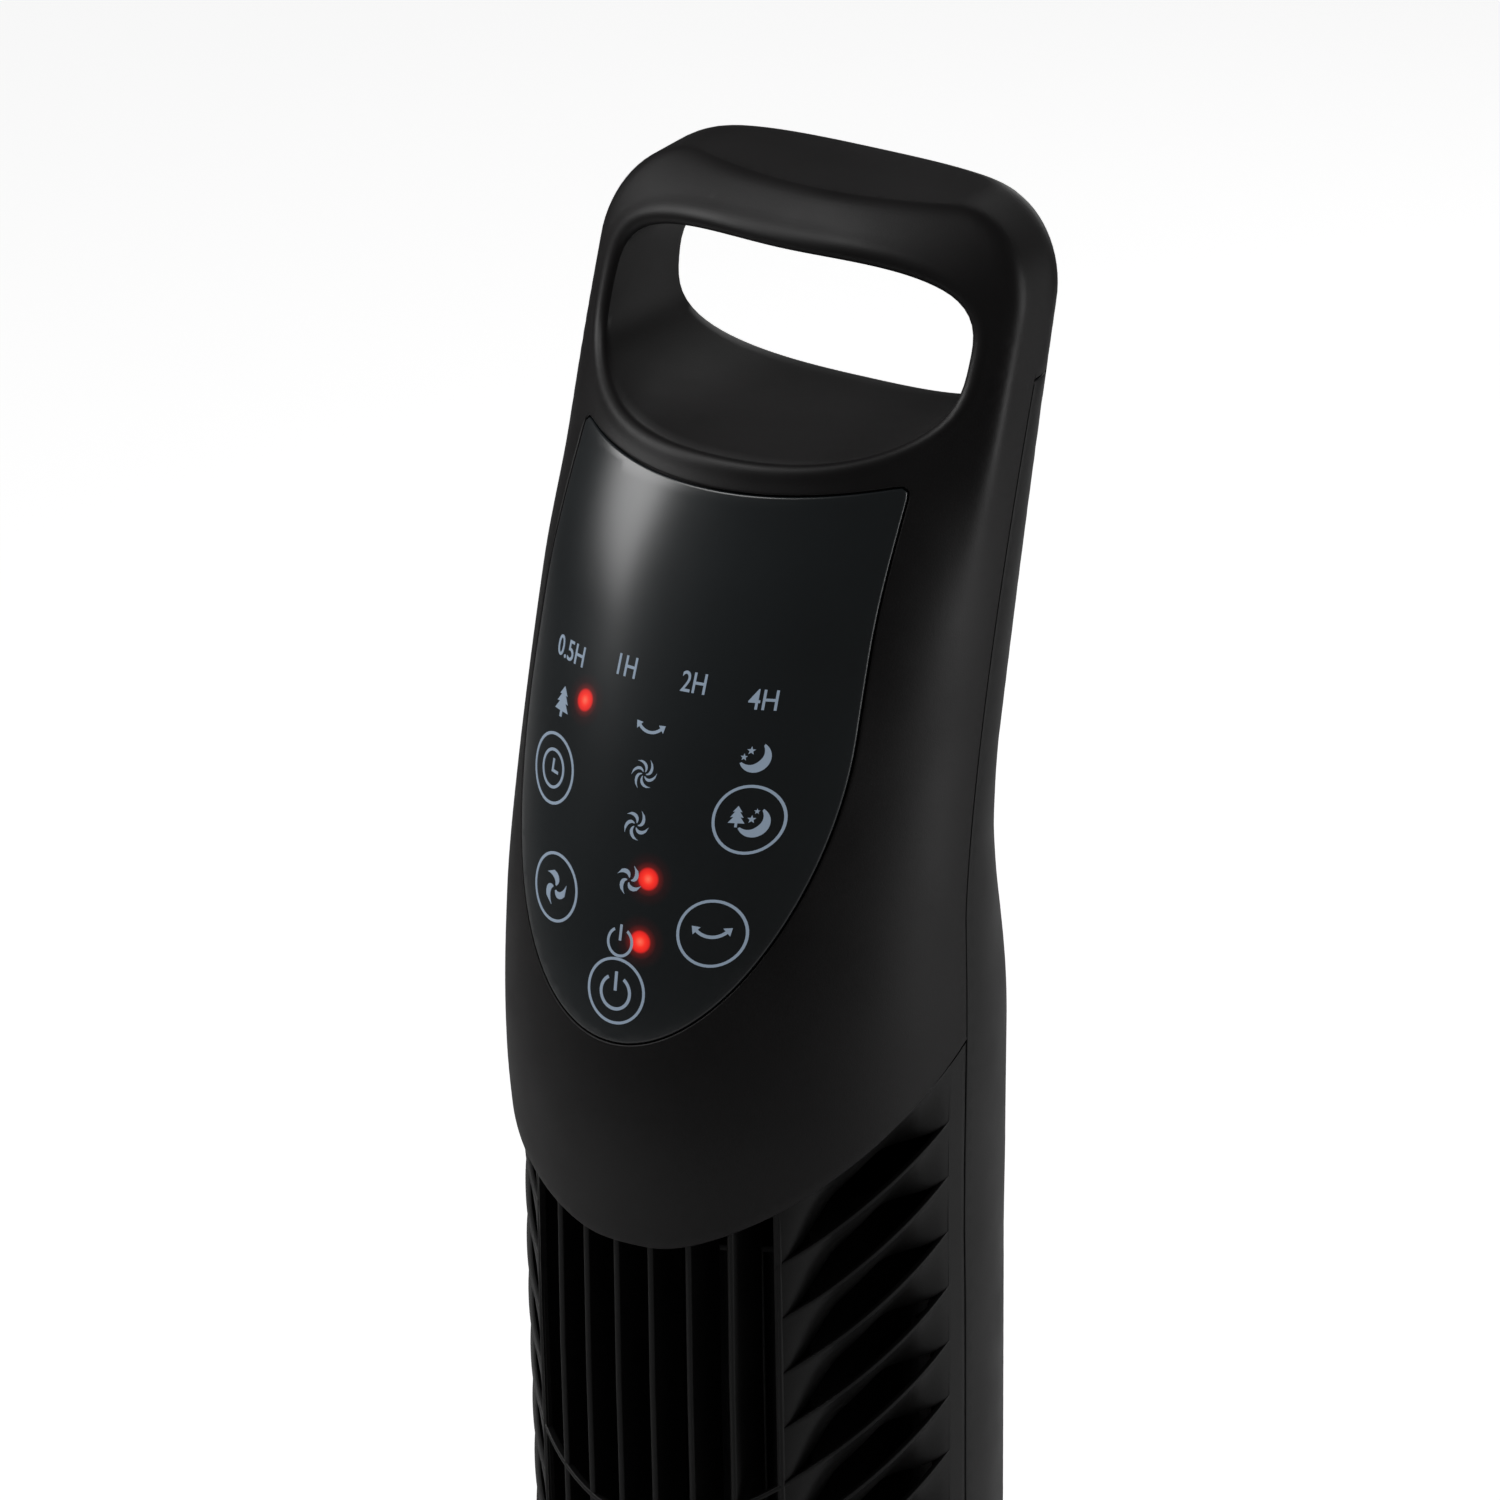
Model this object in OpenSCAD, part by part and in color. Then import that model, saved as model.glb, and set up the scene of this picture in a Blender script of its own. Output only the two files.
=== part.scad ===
// Oscillating tower fan: round weighted base, slim grilled column and a leaning head with a carry handle.
// Millimetres, +Z up, origin at the middle of the footprint, front of the fan towards -Y.

/* [Overall] */
// Height from the floor to the top of the carry handle
total_h = 915; // [840:1:1100]
// Diameter of the column where it meets the head
column_d = 150; // [142:1:170]
// How much narrower the column is at its foot, in diameter
column_taper = 14; // [0:1:16]
// Diameter of the round base
base_d = 290; // [260:1:350]
// Wall of the moulded shells
wall = 2.5; // [2:0.1:3.5]

/* [Head] */
// How far the front of the head stands proud below the control lens
belly = 9; // [4:1:12]
// How far the front face has moved back at the top of the handle
front_lean = 106; // [90:1:116]
// How far the seam between the shells has moved back at the top
seam_lean = 61; // [52:1:66]
// Depth of the waist in the back of the head
waist_depth = 19.5; // [8:0.5:22]
// How far the back comes out again from the waist to the handle
back_rise = 16.5; // [12:0.5:20]
// Height of the head cover's lower edge at the sides above its lowest point
cover_sweep = 57.5; // [40:0.5:62]

/* [Handle] */
// Width of the hand opening
grip_w = 132; // [110:1:134]
// Height of the hand opening
grip_h = 56; // [44:1:58]
// Radius of the handle's upper corners seen from the front
handle_corner = 30; // [20:1:34]

/* [Control lens] */
// Width of the glossy lens
lens_w = 120; // [100:1:124]
// Thickness of the lens
lens_t = 2; // [1.5:0.1:2.5]
// Gap between the lens and its window
lens_gap = 0.3; // [0.15:0.05:0.5]

/* [Front grille] */
// Distance between the upright bars
bar_pitch = 12.6; // [11:0.1:13]
// Thickness of an upright bar
bar_t = 2; // [1.5:0.1:2.6]
// Depth of the upright bars
bar_depth = 16; // [10:1:18]
// Distance between the side louvres
rib_pitch = 18.7; // [15:0.1:26]
// Thickness of a side louvre
rib_t = 2; // [1.5:0.1:3]
// Depth of the side louvres
rib_depth = 12; // [8:1:13]
// Number of gaps between one crossing louvre and the next
cross_every = 5; // [3:1:8]

/* [Fan rotor] */
// Outer diameter of the cross-flow impeller
impeller_d = 90; // [75:1:92]
// Number of impeller blades
blade_count = 28; // [20:1:36]
// Diameter of the motor shaft
shaft_d = 8; // [6:0.5:10]
// Radial clearance of a running shaft
running_gap = 0.05; // [0.02:0.01:0.1]

/* [Base and swing] */
// Height of the rubber feet
foot_h = 4; // [3:0.5:6]
// Number of rubber feet
foot_count = 5; // [4:1:6]
// Diameter of the hollow pivot spindle
spindle_d = 18; // [16:0.5:19]
// Distance from the pivot to the crank shaft
crank_offset = 35; // [34:0.5:36]
// Radius on which the crank pin turns
crank_throw = 20; // [16:0.5:20]
// Gap between pieces that turn past each other
turn_gap = 0.3; // [0.25:0.05:0.6]

/* [Hidden] */

$fn = 96;
big = 400;

// Heights, from the floor up
plate_t = 2;
base_rim_z = foot_h - 1.5;
plate_z = foot_h;
rim_top = foot_h + 5;
dome_top = foot_h + 34;
deck_z = foot_h + 42;
deck_t = 3;
collar_top = deck_z + deck_t + 9;
slide_t = 1.5;
turn_z = collar_top + slide_t + turn_gap;
turn_t = 4;
shroud_z = turn_z + turn_t;
floor_t = 2.5;
motor_z = shroud_z + floor_t + 8;
motor_h = 42;
motor_top = motor_z + motor_h;
mount_h = 4;
motor_plate_z = motor_top + mount_h;
duct_z = shroud_z + 76;
duct_t = 3;
head_h = 346;
head_z = total_h - head_h;
cover_low = head_z + 32.5;
bracket_z = cover_low + 4;
bracket_t = 3;
impeller_z = duct_z + duct_t + 6;
impeller_top = bracket_z - 14;

// Column
column_r = column_d / 2;
foot_r = column_r - column_taper / 2;
taper_slope = (column_r - foot_r) / (head_z - shroud_z);
function column_r_at(z) = column_r - taper_slope * (head_z - z);

// Base
base_r = base_d / 2;
base_wall = 3;
collar_r = foot_r - 1;
collar_wall = 5;
collar_in = collar_r - collar_wall;
spindle_r = spindle_d / 2;
bush_r = spindle_r + 3;
foot_ring_r = base_r - 27;
screw_ring_r = base_r - 35;

// Head outline at a height h above the head's datum
function ease(t) = let(c = min(1, max(0, t))) c * c * (3 - 2 * c);
function rise(h, low, span, power) = pow(max(0, h - low) / span, power);
top_round = 8;
function corner_loss(h) = let(d = max(0, h - (head_h - handle_corner)))
  handle_corner - sqrt(max(0, handle_corner * handle_corner - d * d));
function edge_loss(h) = let(d = max(0, h - (head_h - top_round)))
  top_round - sqrt(max(0, top_round * top_round - d * d));
function half_w(h) = column_r + 2 * ease((h - 20) / 90) - corner_loss(h);
function front_y(h) = -column_r - belly * ease((h - 15) / 65)
  + front_lean * rise(h, 85, 258, 1.7) + edge_loss(h);
function seam_y(h) = seam_lean * rise(h, 130, 213, 1.4);
function back_y(h) = column_r + 2.5 * ease(h / 40) - waist_depth * ease((h - 80) / 98)
  + back_rise * rise(h, 180, 163, 0.85) - edge_loss(h);
function front_power(h) = 2 + rise(h, 150, 193, 2);
function back_power(h) = 2 + 0.8 * rise(h, 150, 193, 1);

// Section of the head: half a superellipse in front of the seam and half behind it
section_sides = 40;
function signed_pow(v, p) = sign(v) * pow(abs(v), p);
function section_point(h, a, inset) =
  let(front = sin(a) < 0, p = 2 / (front ? front_power(h) : back_power(h)),
    reach = front ? seam_y(h) - front_y(h) : back_y(h) - seam_y(h))
  [(half_w(h) - inset) * signed_pow(cos(a), p), seam_y(h) + (reach - inset) * signed_pow(sin(a), p),
    head_z + h];
function section_ring(h, inset) =
  [for (i = [0:section_sides - 1]) section_point(h, 360 * i / section_sides, inset)];
module loft(heights, inset) {
  points = [for (h = heights) each section_ring(h, inset)];
  count = len(heights);
  sides = [for (k = [0:count - 2], i = [0:section_sides - 1])
    let(a = k * section_sides + i, b = k * section_sides + (i + 1) % section_sides)
    each [[a, a + section_sides, b], [b, a + section_sides, b + section_sides]]];
  bottom = [for (i = [0:section_sides - 1]) i];
  top = [for (i = [section_sides - 1:-1:0]) (count - 1) * section_sides + i];
  polyhedron(points, concat([bottom], sides, [top]));
}
shoulder = head_h - handle_corner;
low_rings = [for (h = [0:24:288]) h];
top_rings = [for (a = [0:18:72]) shoulder + handle_corner * sin(a)];
outer_rings = concat(low_rings, top_rings, [head_h - 0.4]);
roof_h = 266;
inner_rings = concat([-2], [for (h = [24:24:240]) h], [roof_h]);
module head_outside(inset = 0) { loft(outer_rings, inset); }
module head_inside(inset) { loft(inner_rings, inset); }

// Curve shared by the cover's lower edge and every louvre, as a height over Y
function sweep(y) = cover_sweep * pow(max(0, column_r + y) / column_r, 0.74);
sweep_steps = 14;
function sweep_y(i) = -column_r + column_r * pow(i / sweep_steps, 2);
module sweep_band(z, low, high) {
  profile = concat([for (i = [0:sweep_steps]) [sweep_y(i), sweep(sweep_y(i)) + high]],
    [for (i = [sweep_steps:-1:0]) [sweep_y(i), sweep(sweep_y(i)) + low]]);
  translate([0, 0, z]) yz_extrude() polygon(profile);
}
// Draws a YZ outline and extrudes it across the whole width
module yz_extrude() { rotate([90, 0, 90]) translate([0, 0, -big / 2]) linear_extrude(big) children(); }
// Draws an XZ outline and extrudes it from the front backwards
module xz_extrude(from_y, to_y) {
  translate([0, to_y, 0]) rotate([90, 0, 0]) linear_extrude(to_y - from_y) children();
}
notch_h = 295;
seam_steps = 14;
function seam_line() = [for (i = [0:seam_steps])
  let(h = notch_h * i / seam_steps) [seam_y(h), head_z + h]];
module in_front_of_seam() {
  below = [[0, 0], [-big, 0], [-big, total_h + big], [big, total_h + big], [big, head_z + notch_h]];
  yz_extrude() polygon(concat(below, [for (i = [seam_steps:-1:0]) seam_line()[i]]));
}
module behind_seam() {
  yz_extrude() polygon(concat([[0, 0]], seam_line(), [[big, head_z + notch_h], [big, 0]]));
}
module above_cover_edge() {
  front_side = [[-big, cover_low], [-big, total_h + big], [big, total_h + big],
    [big, cover_low + cover_sweep]];
  curve = [for (i = [sweep_steps:-1:0]) [sweep_y(i), cover_low + sweep(sweep_y(i))]];
  yz_extrude() polygon(concat(front_side, curve));
}
module below_cover_edge() {
  curve = [for (i = [0:sweep_steps]) [sweep_y(i), cover_low + sweep(sweep_y(i))]];
  yz_extrude() polygon(concat([[-big, 0], [-big, cover_low]], curve, [[0, 0]]));
}
// Tapered column between two heights, grown or shrunk by a wall
module column(low, high, inset = 0) {
  translate([0, 0, low])
    cylinder(h = high - low, r1 = column_r_at(low) - inset, r2 = column_r_at(high) - inset);
}
module ring(z, h, r_out, r_in) {
  translate([0, 0, z]) difference() {
    cylinder(h = h, r = r_out);
    translate([0, 0, -1]) cylinder(h = h + 2, r = r_in);
  }
}
module around(count, radius, start = 0) {
  for (i = [0:count - 1]) rotate([0, 0, start + 360 * i / count]) translate([radius, 0, 0]) children();
}

// ---- Base -------------------------------------------------------------------------------------------
screw_r = 1.5;
screw_clear = 0.3;
boss_r = 5;
boss_top = rim_top + 11;
module base_cover() color([0.08, 0.08, 0.08]) {
  dome = [[base_r, base_rim_z], [base_r, rim_top], [base_r - 4, rim_top + 4.5], [base_r - 30, rim_top + 12],
    [collar_r + 22, dome_top - 9], [collar_r + 5, dome_top], [collar_r, dome_top + 6], [collar_r, collar_top],
    [collar_in, collar_top], [collar_in, deck_z + deck_t], [bush_r, deck_z + deck_t], [bush_r, deck_z],
    [collar_in, deck_z], [collar_in, dome_top - base_wall], [collar_r + 20, dome_top - 12.5],
    [base_r - 31, rim_top + 8.5], [base_r - 7, rim_top + 1.5], [base_r - base_wall, rim_top - 1],
    [base_r - base_wall, base_rim_z]];
  difference() {
    union() {
      rotate_extrude() polygon(dome);
      around(foot_count, screw_ring_r, 36)
        translate([0, 0, plate_z + plate_t]) cylinder(h = boss_top - plate_z - plate_t, r = boss_r);
    }
    around(foot_count, screw_ring_r, 36)
      translate([0, 0, plate_z]) cylinder(h = 10, r = screw_r);
    translate([0, crank_offset, deck_z - 1]) cylinder(h = deck_t + 2, r = 5);
  }
}
module base_plate() color([0.07, 0.07, 0.07]) difference() {
  translate([0, 0, plate_z]) cylinder(h = plate_t, r = base_r - base_wall - turn_gap);
  around(foot_count, screw_ring_r, 36)
    translate([0, 0, plate_z - 1]) cylinder(h = plate_t + 2, r = screw_r + screw_clear);
}
ballast_h = 8;
module ballast() color([0.42, 0.42, 0.43])
  ring(plate_z + plate_t, ballast_h, base_r - 46, base_r - 86);
module rubber_feet() color([0.05, 0.05, 0.05])
  around(foot_count, foot_ring_r) cylinder(h = foot_h, r = 10);
module base_screws() color([0.6, 0.6, 0.62])
  around(foot_count, screw_ring_r, 36) {
    translate([0, 0, plate_z - 1.8]) cylinder(h = 1.8, r = 3.5);
    translate([0, 0, plate_z]) cylinder(h = 9, r = screw_r);
  }
bush_drop = 3;
module spindle_bush() color([0.75, 0.73, 0.66])
  ring(deck_z - bush_drop, deck_t + bush_drop + 1, bush_r, spindle_r + running_gap);
slide_inset = 1.8;
module slide_ring() color([0.85, 0.85, 0.82])
  ring(collar_top, slide_t, collar_r - slide_inset, collar_in + 0.5);
crank_shaft_r = 3;
swing_can_r = crank_offset - spindle_r - 4.6;
swing_can_h = 18;
module swing_motor() color([0.68, 0.68, 0.7]) difference() {
  union() {
    translate([0, crank_offset, deck_z - swing_can_h]) cylinder(h = swing_can_h, r = swing_can_r);
    for (x = [-1, 1]) translate([x * (swing_can_r + 3), crank_offset, deck_z - 2]) cylinder(h = 2, r = 5);
  }
  translate([0, crank_offset, deck_z - 12]) cylinder(h = 20, r = crank_shaft_r + running_gap);
}

// ---- Swing crank ------------------------------------------------------------------------------------
arm_z = deck_z + deck_t + 2;
arm_t = 4;
pin_r = 3;
pin_top = turn_z - turn_gap - 0.4;
module crank_arm() color([0.8, 0.8, 0.76]) difference() {
  union() {
    translate([0, crank_offset, deck_z - 11]) cylinder(h = arm_z - deck_z + 11, r = crank_shaft_r);
    translate([0, crank_offset, arm_z]) cylinder(h = arm_t, r = 6);
    translate([0, crank_offset - 3.5, arm_z]) cube([crank_throw, 7, arm_t]);
    translate([crank_throw, crank_offset, arm_z]) cylinder(h = arm_t, r = 4);
  }
  translate([crank_throw, crank_offset, arm_z - 1]) cylinder(h = arm_t + 2, r = pin_r - 1);
}
module crank_pin() color([0.7, 0.7, 0.72]) translate([crank_throw, crank_offset, 0]) {
  translate([0, 0, arm_z]) cylinder(h = arm_t, r = pin_r - 1);
  translate([0, 0, arm_z + arm_t]) cylinder(h = pin_top - arm_z - arm_t, r = pin_r);
}

// ---- Turntable and lower shroud ---------------------------------------------------------------------
turn_r = foot_r - 1;
spindle_low = deck_z - 9;
slot_w = 2 * pin_r + 0.8;
slot_l = 2 * crank_throw + 2 * pin_r + 2;
turn_screw_r = turn_r - 10;
module turntable() color([0.1, 0.1, 0.1]) difference() {
  union() {
    translate([0, 0, turn_z]) cylinder(h = turn_t, r = turn_r);
    translate([0, 0, spindle_low]) cylinder(h = turn_z - spindle_low + 1, r = spindle_r);
  }
  translate([0, 0, spindle_low - 1]) cylinder(h = turn_z + turn_t, r = spindle_r - 3);
  translate([-slot_w / 2, crank_offset - slot_l / 2, turn_z - 1]) cube([slot_w, slot_l, turn_t + 2]);
  around(4, turn_screw_r, 45)
    translate([0, 0, turn_z - 1]) cylinder(h = turn_t + 2, r = screw_r + screw_clear);
}
clip_t = 2;
module spindle_clip() color([0.7, 0.7, 0.72])
  ring(deck_z - bush_drop - turn_gap - clip_t, clip_t, spindle_r + 4, spindle_r);
module turntable_screws() color([0.6, 0.6, 0.62])
  around(4, turn_screw_r, 45) {
    translate([0, 0, turn_z]) cylinder(h = turn_t + floor_t + 4, r = screw_r);
    translate([0, 0, shroud_z + floor_t + 4]) cylinder(h = 1.8, r = 3.2);
  }
gland_z = shroud_z + 24;
gland_r = 6;
cord_bore_r = 3.6;
module lower_shroud() color([0.09, 0.09, 0.09]) difference() {
  union() {
    difference() {
      column(shroud_z, duct_z);
      translate([0, 0, floor_t]) column(shroud_z, duct_z + 1, wall);
    }
    around(4, turn_screw_r, 45) translate([0, 0, shroud_z + 1]) cylinder(h = floor_t + 3, r = 4);
  }
  translate([0, 0, shroud_z - 1]) cylinder(h = floor_t + 2, r = spindle_r - 3);
  translate([-slot_w / 2, crank_offset - slot_l / 2, shroud_z - 1]) cube([slot_w, slot_l, floor_t + 2]);
  around(4, turn_screw_r, 45) translate([0, 0, shroud_z - 1]) cylinder(h = floor_t + 6, r = screw_r);
  translate([0, foot_r - 12, gland_z]) rotate([-90, 0, 0]) cylinder(h = 24, r = gland_r);
}
gland_y = column_r_at(gland_z);
module cord_gland() color([0.06, 0.06, 0.06]) difference() {
  union() {
    translate([0, gland_y - 10, gland_z]) rotate([-90, 0, 0]) cylinder(h = 13, r = gland_r);
    translate([0, gland_y + 0.6, gland_z]) rotate([-90, 0, 0]) cylinder(h = 3, r = gland_r + 2);
  }
  translate([0, gland_y - 20, gland_z]) rotate([-90, 0, 0]) cylinder(h = 40, r = cord_bore_r);
}

// ---- Fan motor --------------------------------------------------------------------------------------
motor_r = 38;
motor_wall = 1.5;
shaft_r = shaft_d / 2;
core_r = 19;
air_gap = 0.4;
module motor_housing() color([0.62, 0.62, 0.64]) difference() {
  union() {
    translate([0, 0, motor_z]) cylinder(h = motor_h, r = motor_r);
    translate([0, 0, motor_z - 5]) cylinder(h = 6, r = 11);
  }
  translate([0, 0, motor_z + motor_wall]) cylinder(h = motor_h - 2 * motor_wall, r = motor_r - motor_wall);
  translate([0, 0, motor_z - 6]) cylinder(h = motor_h + 8, r = shaft_r + running_gap);
}
stator_z = motor_z + 12;
stator_h = 18;
module motor_stator() color([0.35, 0.36, 0.4]) difference() {
  ring(stator_z, stator_h, motor_r - motor_wall, core_r + air_gap);
  around(8, 27, 22.5) translate([0, 0, stator_z - 1]) cylinder(h = stator_h + 2, r = 3);
}
module motor_windings() color([0.72, 0.38, 0.18]) {
  ring(stator_z + stator_h, 7, 34, core_r + 2);
  ring(stator_z - 7, 7, 34, core_r + 2);
}
module motor_core() color([0.5, 0.5, 0.53])
  ring(stator_z - 1, stator_h + 2, core_r, shaft_r);
module motor_shaft() color([0.72, 0.72, 0.74])
  translate([0, 0, motor_z - 4]) cylinder(h = impeller_z + 8 - motor_z, r = shaft_r);
plate_r = column_r_at(motor_plate_z) - wall - 0.3;
module motor_plate() color([0.66, 0.66, 0.66]) difference() {
  translate([0, 0, motor_plate_z]) cylinder(h = 2, r = plate_r);
  translate([0, 0, motor_plate_z - 1]) cylinder(h = 4, r = 14);
  around(6, 50) translate([0, 0, motor_plate_z - 1]) cylinder(h = 4, r = 6);
}
module rubber_mounts() color([0.05, 0.05, 0.05])
  around(4, motor_r - 7, 45) translate([0, 0, motor_top]) cylinder(h = mount_h, r = 4.5);
board_z = motor_z + 2;
module main_board() color([0.1, 0.35, 0.16])
  translate([-22, -58, board_z]) cube([44, 1.6, 40]);
module run_capacitor() color([0.85, 0.85, 0.8])
  translate([-52, -18, board_z]) cube([12, 34, 24]);

// ---- Rotor ------------------------------------------------------------------------------------------
impeller_r = impeller_d / 2;
blade_depth = 10;
hub_r = 11;
disc_t = 2;
stage_count = 4;
module drive_hub() color([0.06, 0.06, 0.06])
  ring(impeller_z - 4, 12, hub_r, shaft_r);
module impeller() color([0.16, 0.16, 0.17]) {
  span = impeller_top - impeller_z;
  stage = (span - disc_t) / stage_count;
  difference() {
    union() {
      translate([0, 0, impeller_z]) cylinder(h = disc_t, r = impeller_r);
      translate([0, 0, impeller_z]) cylinder(h = 8, r = hub_r + 3);
    }
    translate([0, 0, impeller_z - 1]) cylinder(h = 12, r = hub_r);
  }
  for (k = [1:stage_count - 1])
    ring(impeller_z + k * stage, disc_t, impeller_r, impeller_r - blade_depth - 2);
  difference() {
    translate([0, 0, impeller_top - disc_t]) cylinder(h = disc_t, r = impeller_r);
    translate([0, 0, impeller_top - disc_t - 1]) cylinder(h = disc_t + 2, r = stub_r);
  }
  for (i = [0:blade_count - 1]) rotate([0, 0, 360 * i / blade_count])
    translate([impeller_r - blade_depth, 0, impeller_z + disc_t / 2]) rotate([0, 0, 22])
      cube([blade_depth * 0.9, 1, span - disc_t]);
}
stub_r = 3;
module impeller_stub() color([0.72, 0.72, 0.74]) {
  translate([0, 0, impeller_top - disc_t])
    cylinder(h = bracket_z + bracket_t - impeller_top + disc_t, r = stub_r);
  translate([0, 0, impeller_top]) cylinder(h = 2, r = 8);
}

// ---- Air duct and bearings --------------------------------------------------------------------------
scroll_gap = 5;
duct_r = impeller_r + scroll_gap;
duct_top = bracket_z;
module duct_floor() color([0.09, 0.09, 0.09]) difference() {
  translate([0, 0, duct_z]) cylinder(h = duct_t, r = column_r_at(duct_z) - bar_depth - 2);
  translate([0, 0, duct_z - 1]) cylinder(h = duct_t + 2, r = hub_r + 1);
}
module sector(r_out, r_in, from, to) {
  steps = 16;
  function arc(r, a) = [r * cos(a), r * sin(a)];
  outer = [for (i = [0:steps]) arc(r_out, from + (to - from) * i / steps)];
  inner = [for (i = [steps:-1:0]) arc(r_in, from + (to - from) * i / steps)];
  polygon(concat(outer, inner));
}
duct_wall = 1.6;
tongue_lip = 3;
duct_h = duct_top - duct_z - duct_t;
// Curved casing wall beside the impeller, with a flat partition that seals it against the rear shell
module casing_wall(from, to, partition_angle) {
  low = duct_z + duct_t;
  root = duct_r + duct_wall / 2;
  function rim(z) = column_r_at(z) - wall - partition_gap;
  translate([0, 0, low]) linear_extrude(duct_h) sector(duct_r + duct_wall, duct_r, from, to);
  rotate([90, 0, partition_angle]) translate([0, 0, -duct_wall / 2]) linear_extrude(duct_wall)
    polygon([[root, low], [rim(low), low], [rim(duct_top), duct_top], [root, duct_top]]);
}
module duct_scroll() color([0.1, 0.1, 0.1]) casing_wall(110, 228, 90 + partition_half);
module duct_tongue() color([0.1, 0.1, 0.1])
  casing_wall(312, 450 - partition_half + tongue_lip, 90 - partition_half);
bearing_r = 8;
module bearing_bracket() color([0.09, 0.09, 0.09]) difference() {
  union() {
    translate([0, 0, bracket_z]) cylinder(h = bracket_t, r = column_r - bar_depth - 4);
    intersection() {
      translate([0, 0, bracket_z]) cylinder(h = bracket_t, r = column_r - wall - 0.5);
      translate([-big / 2, 2, 0]) cube([big, big, total_h]);
    }
    ring(bracket_z - 6, 7, bearing_r + 3, bearing_r);
  }
  translate([0, 0, bracket_z - 8]) cylinder(h = bracket_t + 12, r = bearing_r);
}
module upper_bearing() color([0.72, 0.55, 0.3])
  ring(bracket_z - 6, bracket_t + 6, bearing_r, stub_r + running_gap);

// ---- Shells and grilles -----------------------------------------------------------------------------
window_low = duct_z + 24;
window_high = head_z - 14;
window_half = 52;
partition_half = window_half - 6;
partition_gap = 0.4;
module rear_window(low, high, half_angle) {
  translate([0, 0, low]) linear_extrude(high - low)
    polygon([[0, 0], [2 * big * cos(90 - half_angle), 2 * big * sin(90 - half_angle)], [0, 2 * big],
      [2 * big * cos(90 + half_angle), 2 * big * sin(90 + half_angle)]]);
}
screw_heights = [duct_z + 12, (duct_z + head_z) / 2, head_z - 7];
screw_x = column_r - 15;
module at_shell_screws() for (z = screw_heights, x = [-1, 1])
  translate([x * screw_x, 0, z]) rotate([-90, 0, 0]) children();
module rear_shell() color([0.12, 0.12, 0.12]) {
  difference() {
    intersection() {
      union() {
        difference() {
          column(duct_z, head_z);
          column(duct_z - 1, head_z + 1, wall);
        }
        intersection() {
          column(duct_z, head_z, 1);
          at_shell_screws() cylinder(h = column_r, r = 5);
        }
      }
      translate([-big / 2, 0, 0]) cube([big, big, total_h]);
    }
    rear_window(window_low, window_high, window_half);
    at_shell_screws() translate([0, 0, 6]) cylinder(h = column_r, r = 3.6);
    at_shell_screws() translate([0, 0, -1]) cylinder(h = column_r, r = screw_r + screw_clear);
  }
  difference() {
    intersection() {
      head_outside();
      behind_seam();
    }
    head_inside(wall);
    grip_cut();
  }
}
slot_bar = 2.2;
slot_pitch = 5;
hoop_pitch = 48;
module rear_grille() color([0.1, 0.1, 0.1]) {
  grille_gap = 0.3;
  half = window_half - 0.25;
  low = window_low + grille_gap;
  high = window_high - grille_gap;
  bars = floor((half * 2 - 4) / slot_pitch);
  hoops = floor((high - low) / hoop_pitch);
  intersection() {
    difference() {
      column(low, high, 0.2);
      column(low - 1, high + 1, wall);
    }
    rear_window(low, high, half);
    union() {
      for (i = [0:bars]) rotate([0, 0, 90 + (i - bars / 2) * slot_pitch])
        translate([column_r - 20, -slot_bar / 2, low]) cube([30, slot_bar, high - low]);
      for (k = [0:hoops]) translate([-big / 2, 0, low + k * (high - low - 4) / hoops]) cube([big, big, 4]);
      for (s = [-1, 1]) rotate([0, 0, 90 + s * (half - 1.6)])
        translate([column_r - 20, -2.4, low]) cube([30, 4.8, high - low]);
    }
  }
}
side_rail = 84;
bar_tilt = atan(taper_slope * 0.7);
mouth_half = 3.5 * bar_pitch;
rib_top = cover_low - rib_pitch;
rib_count = floor((rib_top - duct_z + 40) / rib_pitch);
module grille_zone(depth) difference() {
  column(duct_z, head_z + 110);
  column(duct_z - 1, head_z + 111, depth);
}
module front_half() translate([-big / 2, -big, 0]) cube([big, big, total_h]);
module front_grille() color([0.06, 0.06, 0.06]) difference() {
  intersection() {
    union() {
      intersection() {
        grille_zone(bar_depth);
        for (i = [-3.5:1:3.5]) translate([i * bar_pitch, 0, head_z]) rotate([0, sign(i) * bar_tilt, 0])
          translate([-bar_t / 2, -column_r - 10, duct_z - head_z - 20]) cube([bar_t, column_r, total_h]);
      }
      intersection() {
        grille_zone(rib_depth);
        for (k = [0:rib_count]) sweep_band(rib_top - k * rib_pitch, -rib_t, 0);
        for (s = [-1, 1]) translate([s * (big / 2 + mouth_half - 1), 0, head_z - big])
          cube([big, 4 * big, 4 * big], center = true);
      }
      intersection() {
        grille_zone(2.4);
        for (k = [4:cross_every:rib_count]) sweep_band(rib_top - k * rib_pitch, -rib_t, 0);
      }
      intersection() {
        grille_zone(wall);
        translate([-big / 2, -column_r * cos(side_rail), 0]) cube([big, column_r * cos(side_rail), total_h]);
      }
      intersection() {
        grille_zone(20);
        for (s = [-1, 1]) translate([s * screw_x - 6, -7.5, duct_z]) cube([12, 7.5, head_z - duct_z]);
      }
      intersection() {
        grille_zone(bar_depth);
        translate([-big / 2, -big, duct_z]) cube([big, big, 5]);
      }
    }
    front_half();
    below_cover_edge();
  }
  at_shell_screws() translate([0, 0, -7]) cylinder(h = 8, r = screw_r);
}
screw_len = 12;
module shell_screws() color([0.3, 0.3, 0.31])
  at_shell_screws() {
    translate([0, 0, -6]) cylinder(h = screw_len, r = screw_r);
    translate([0, 0, 6]) cylinder(h = 2.4, r = 3.2);
  }

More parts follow.
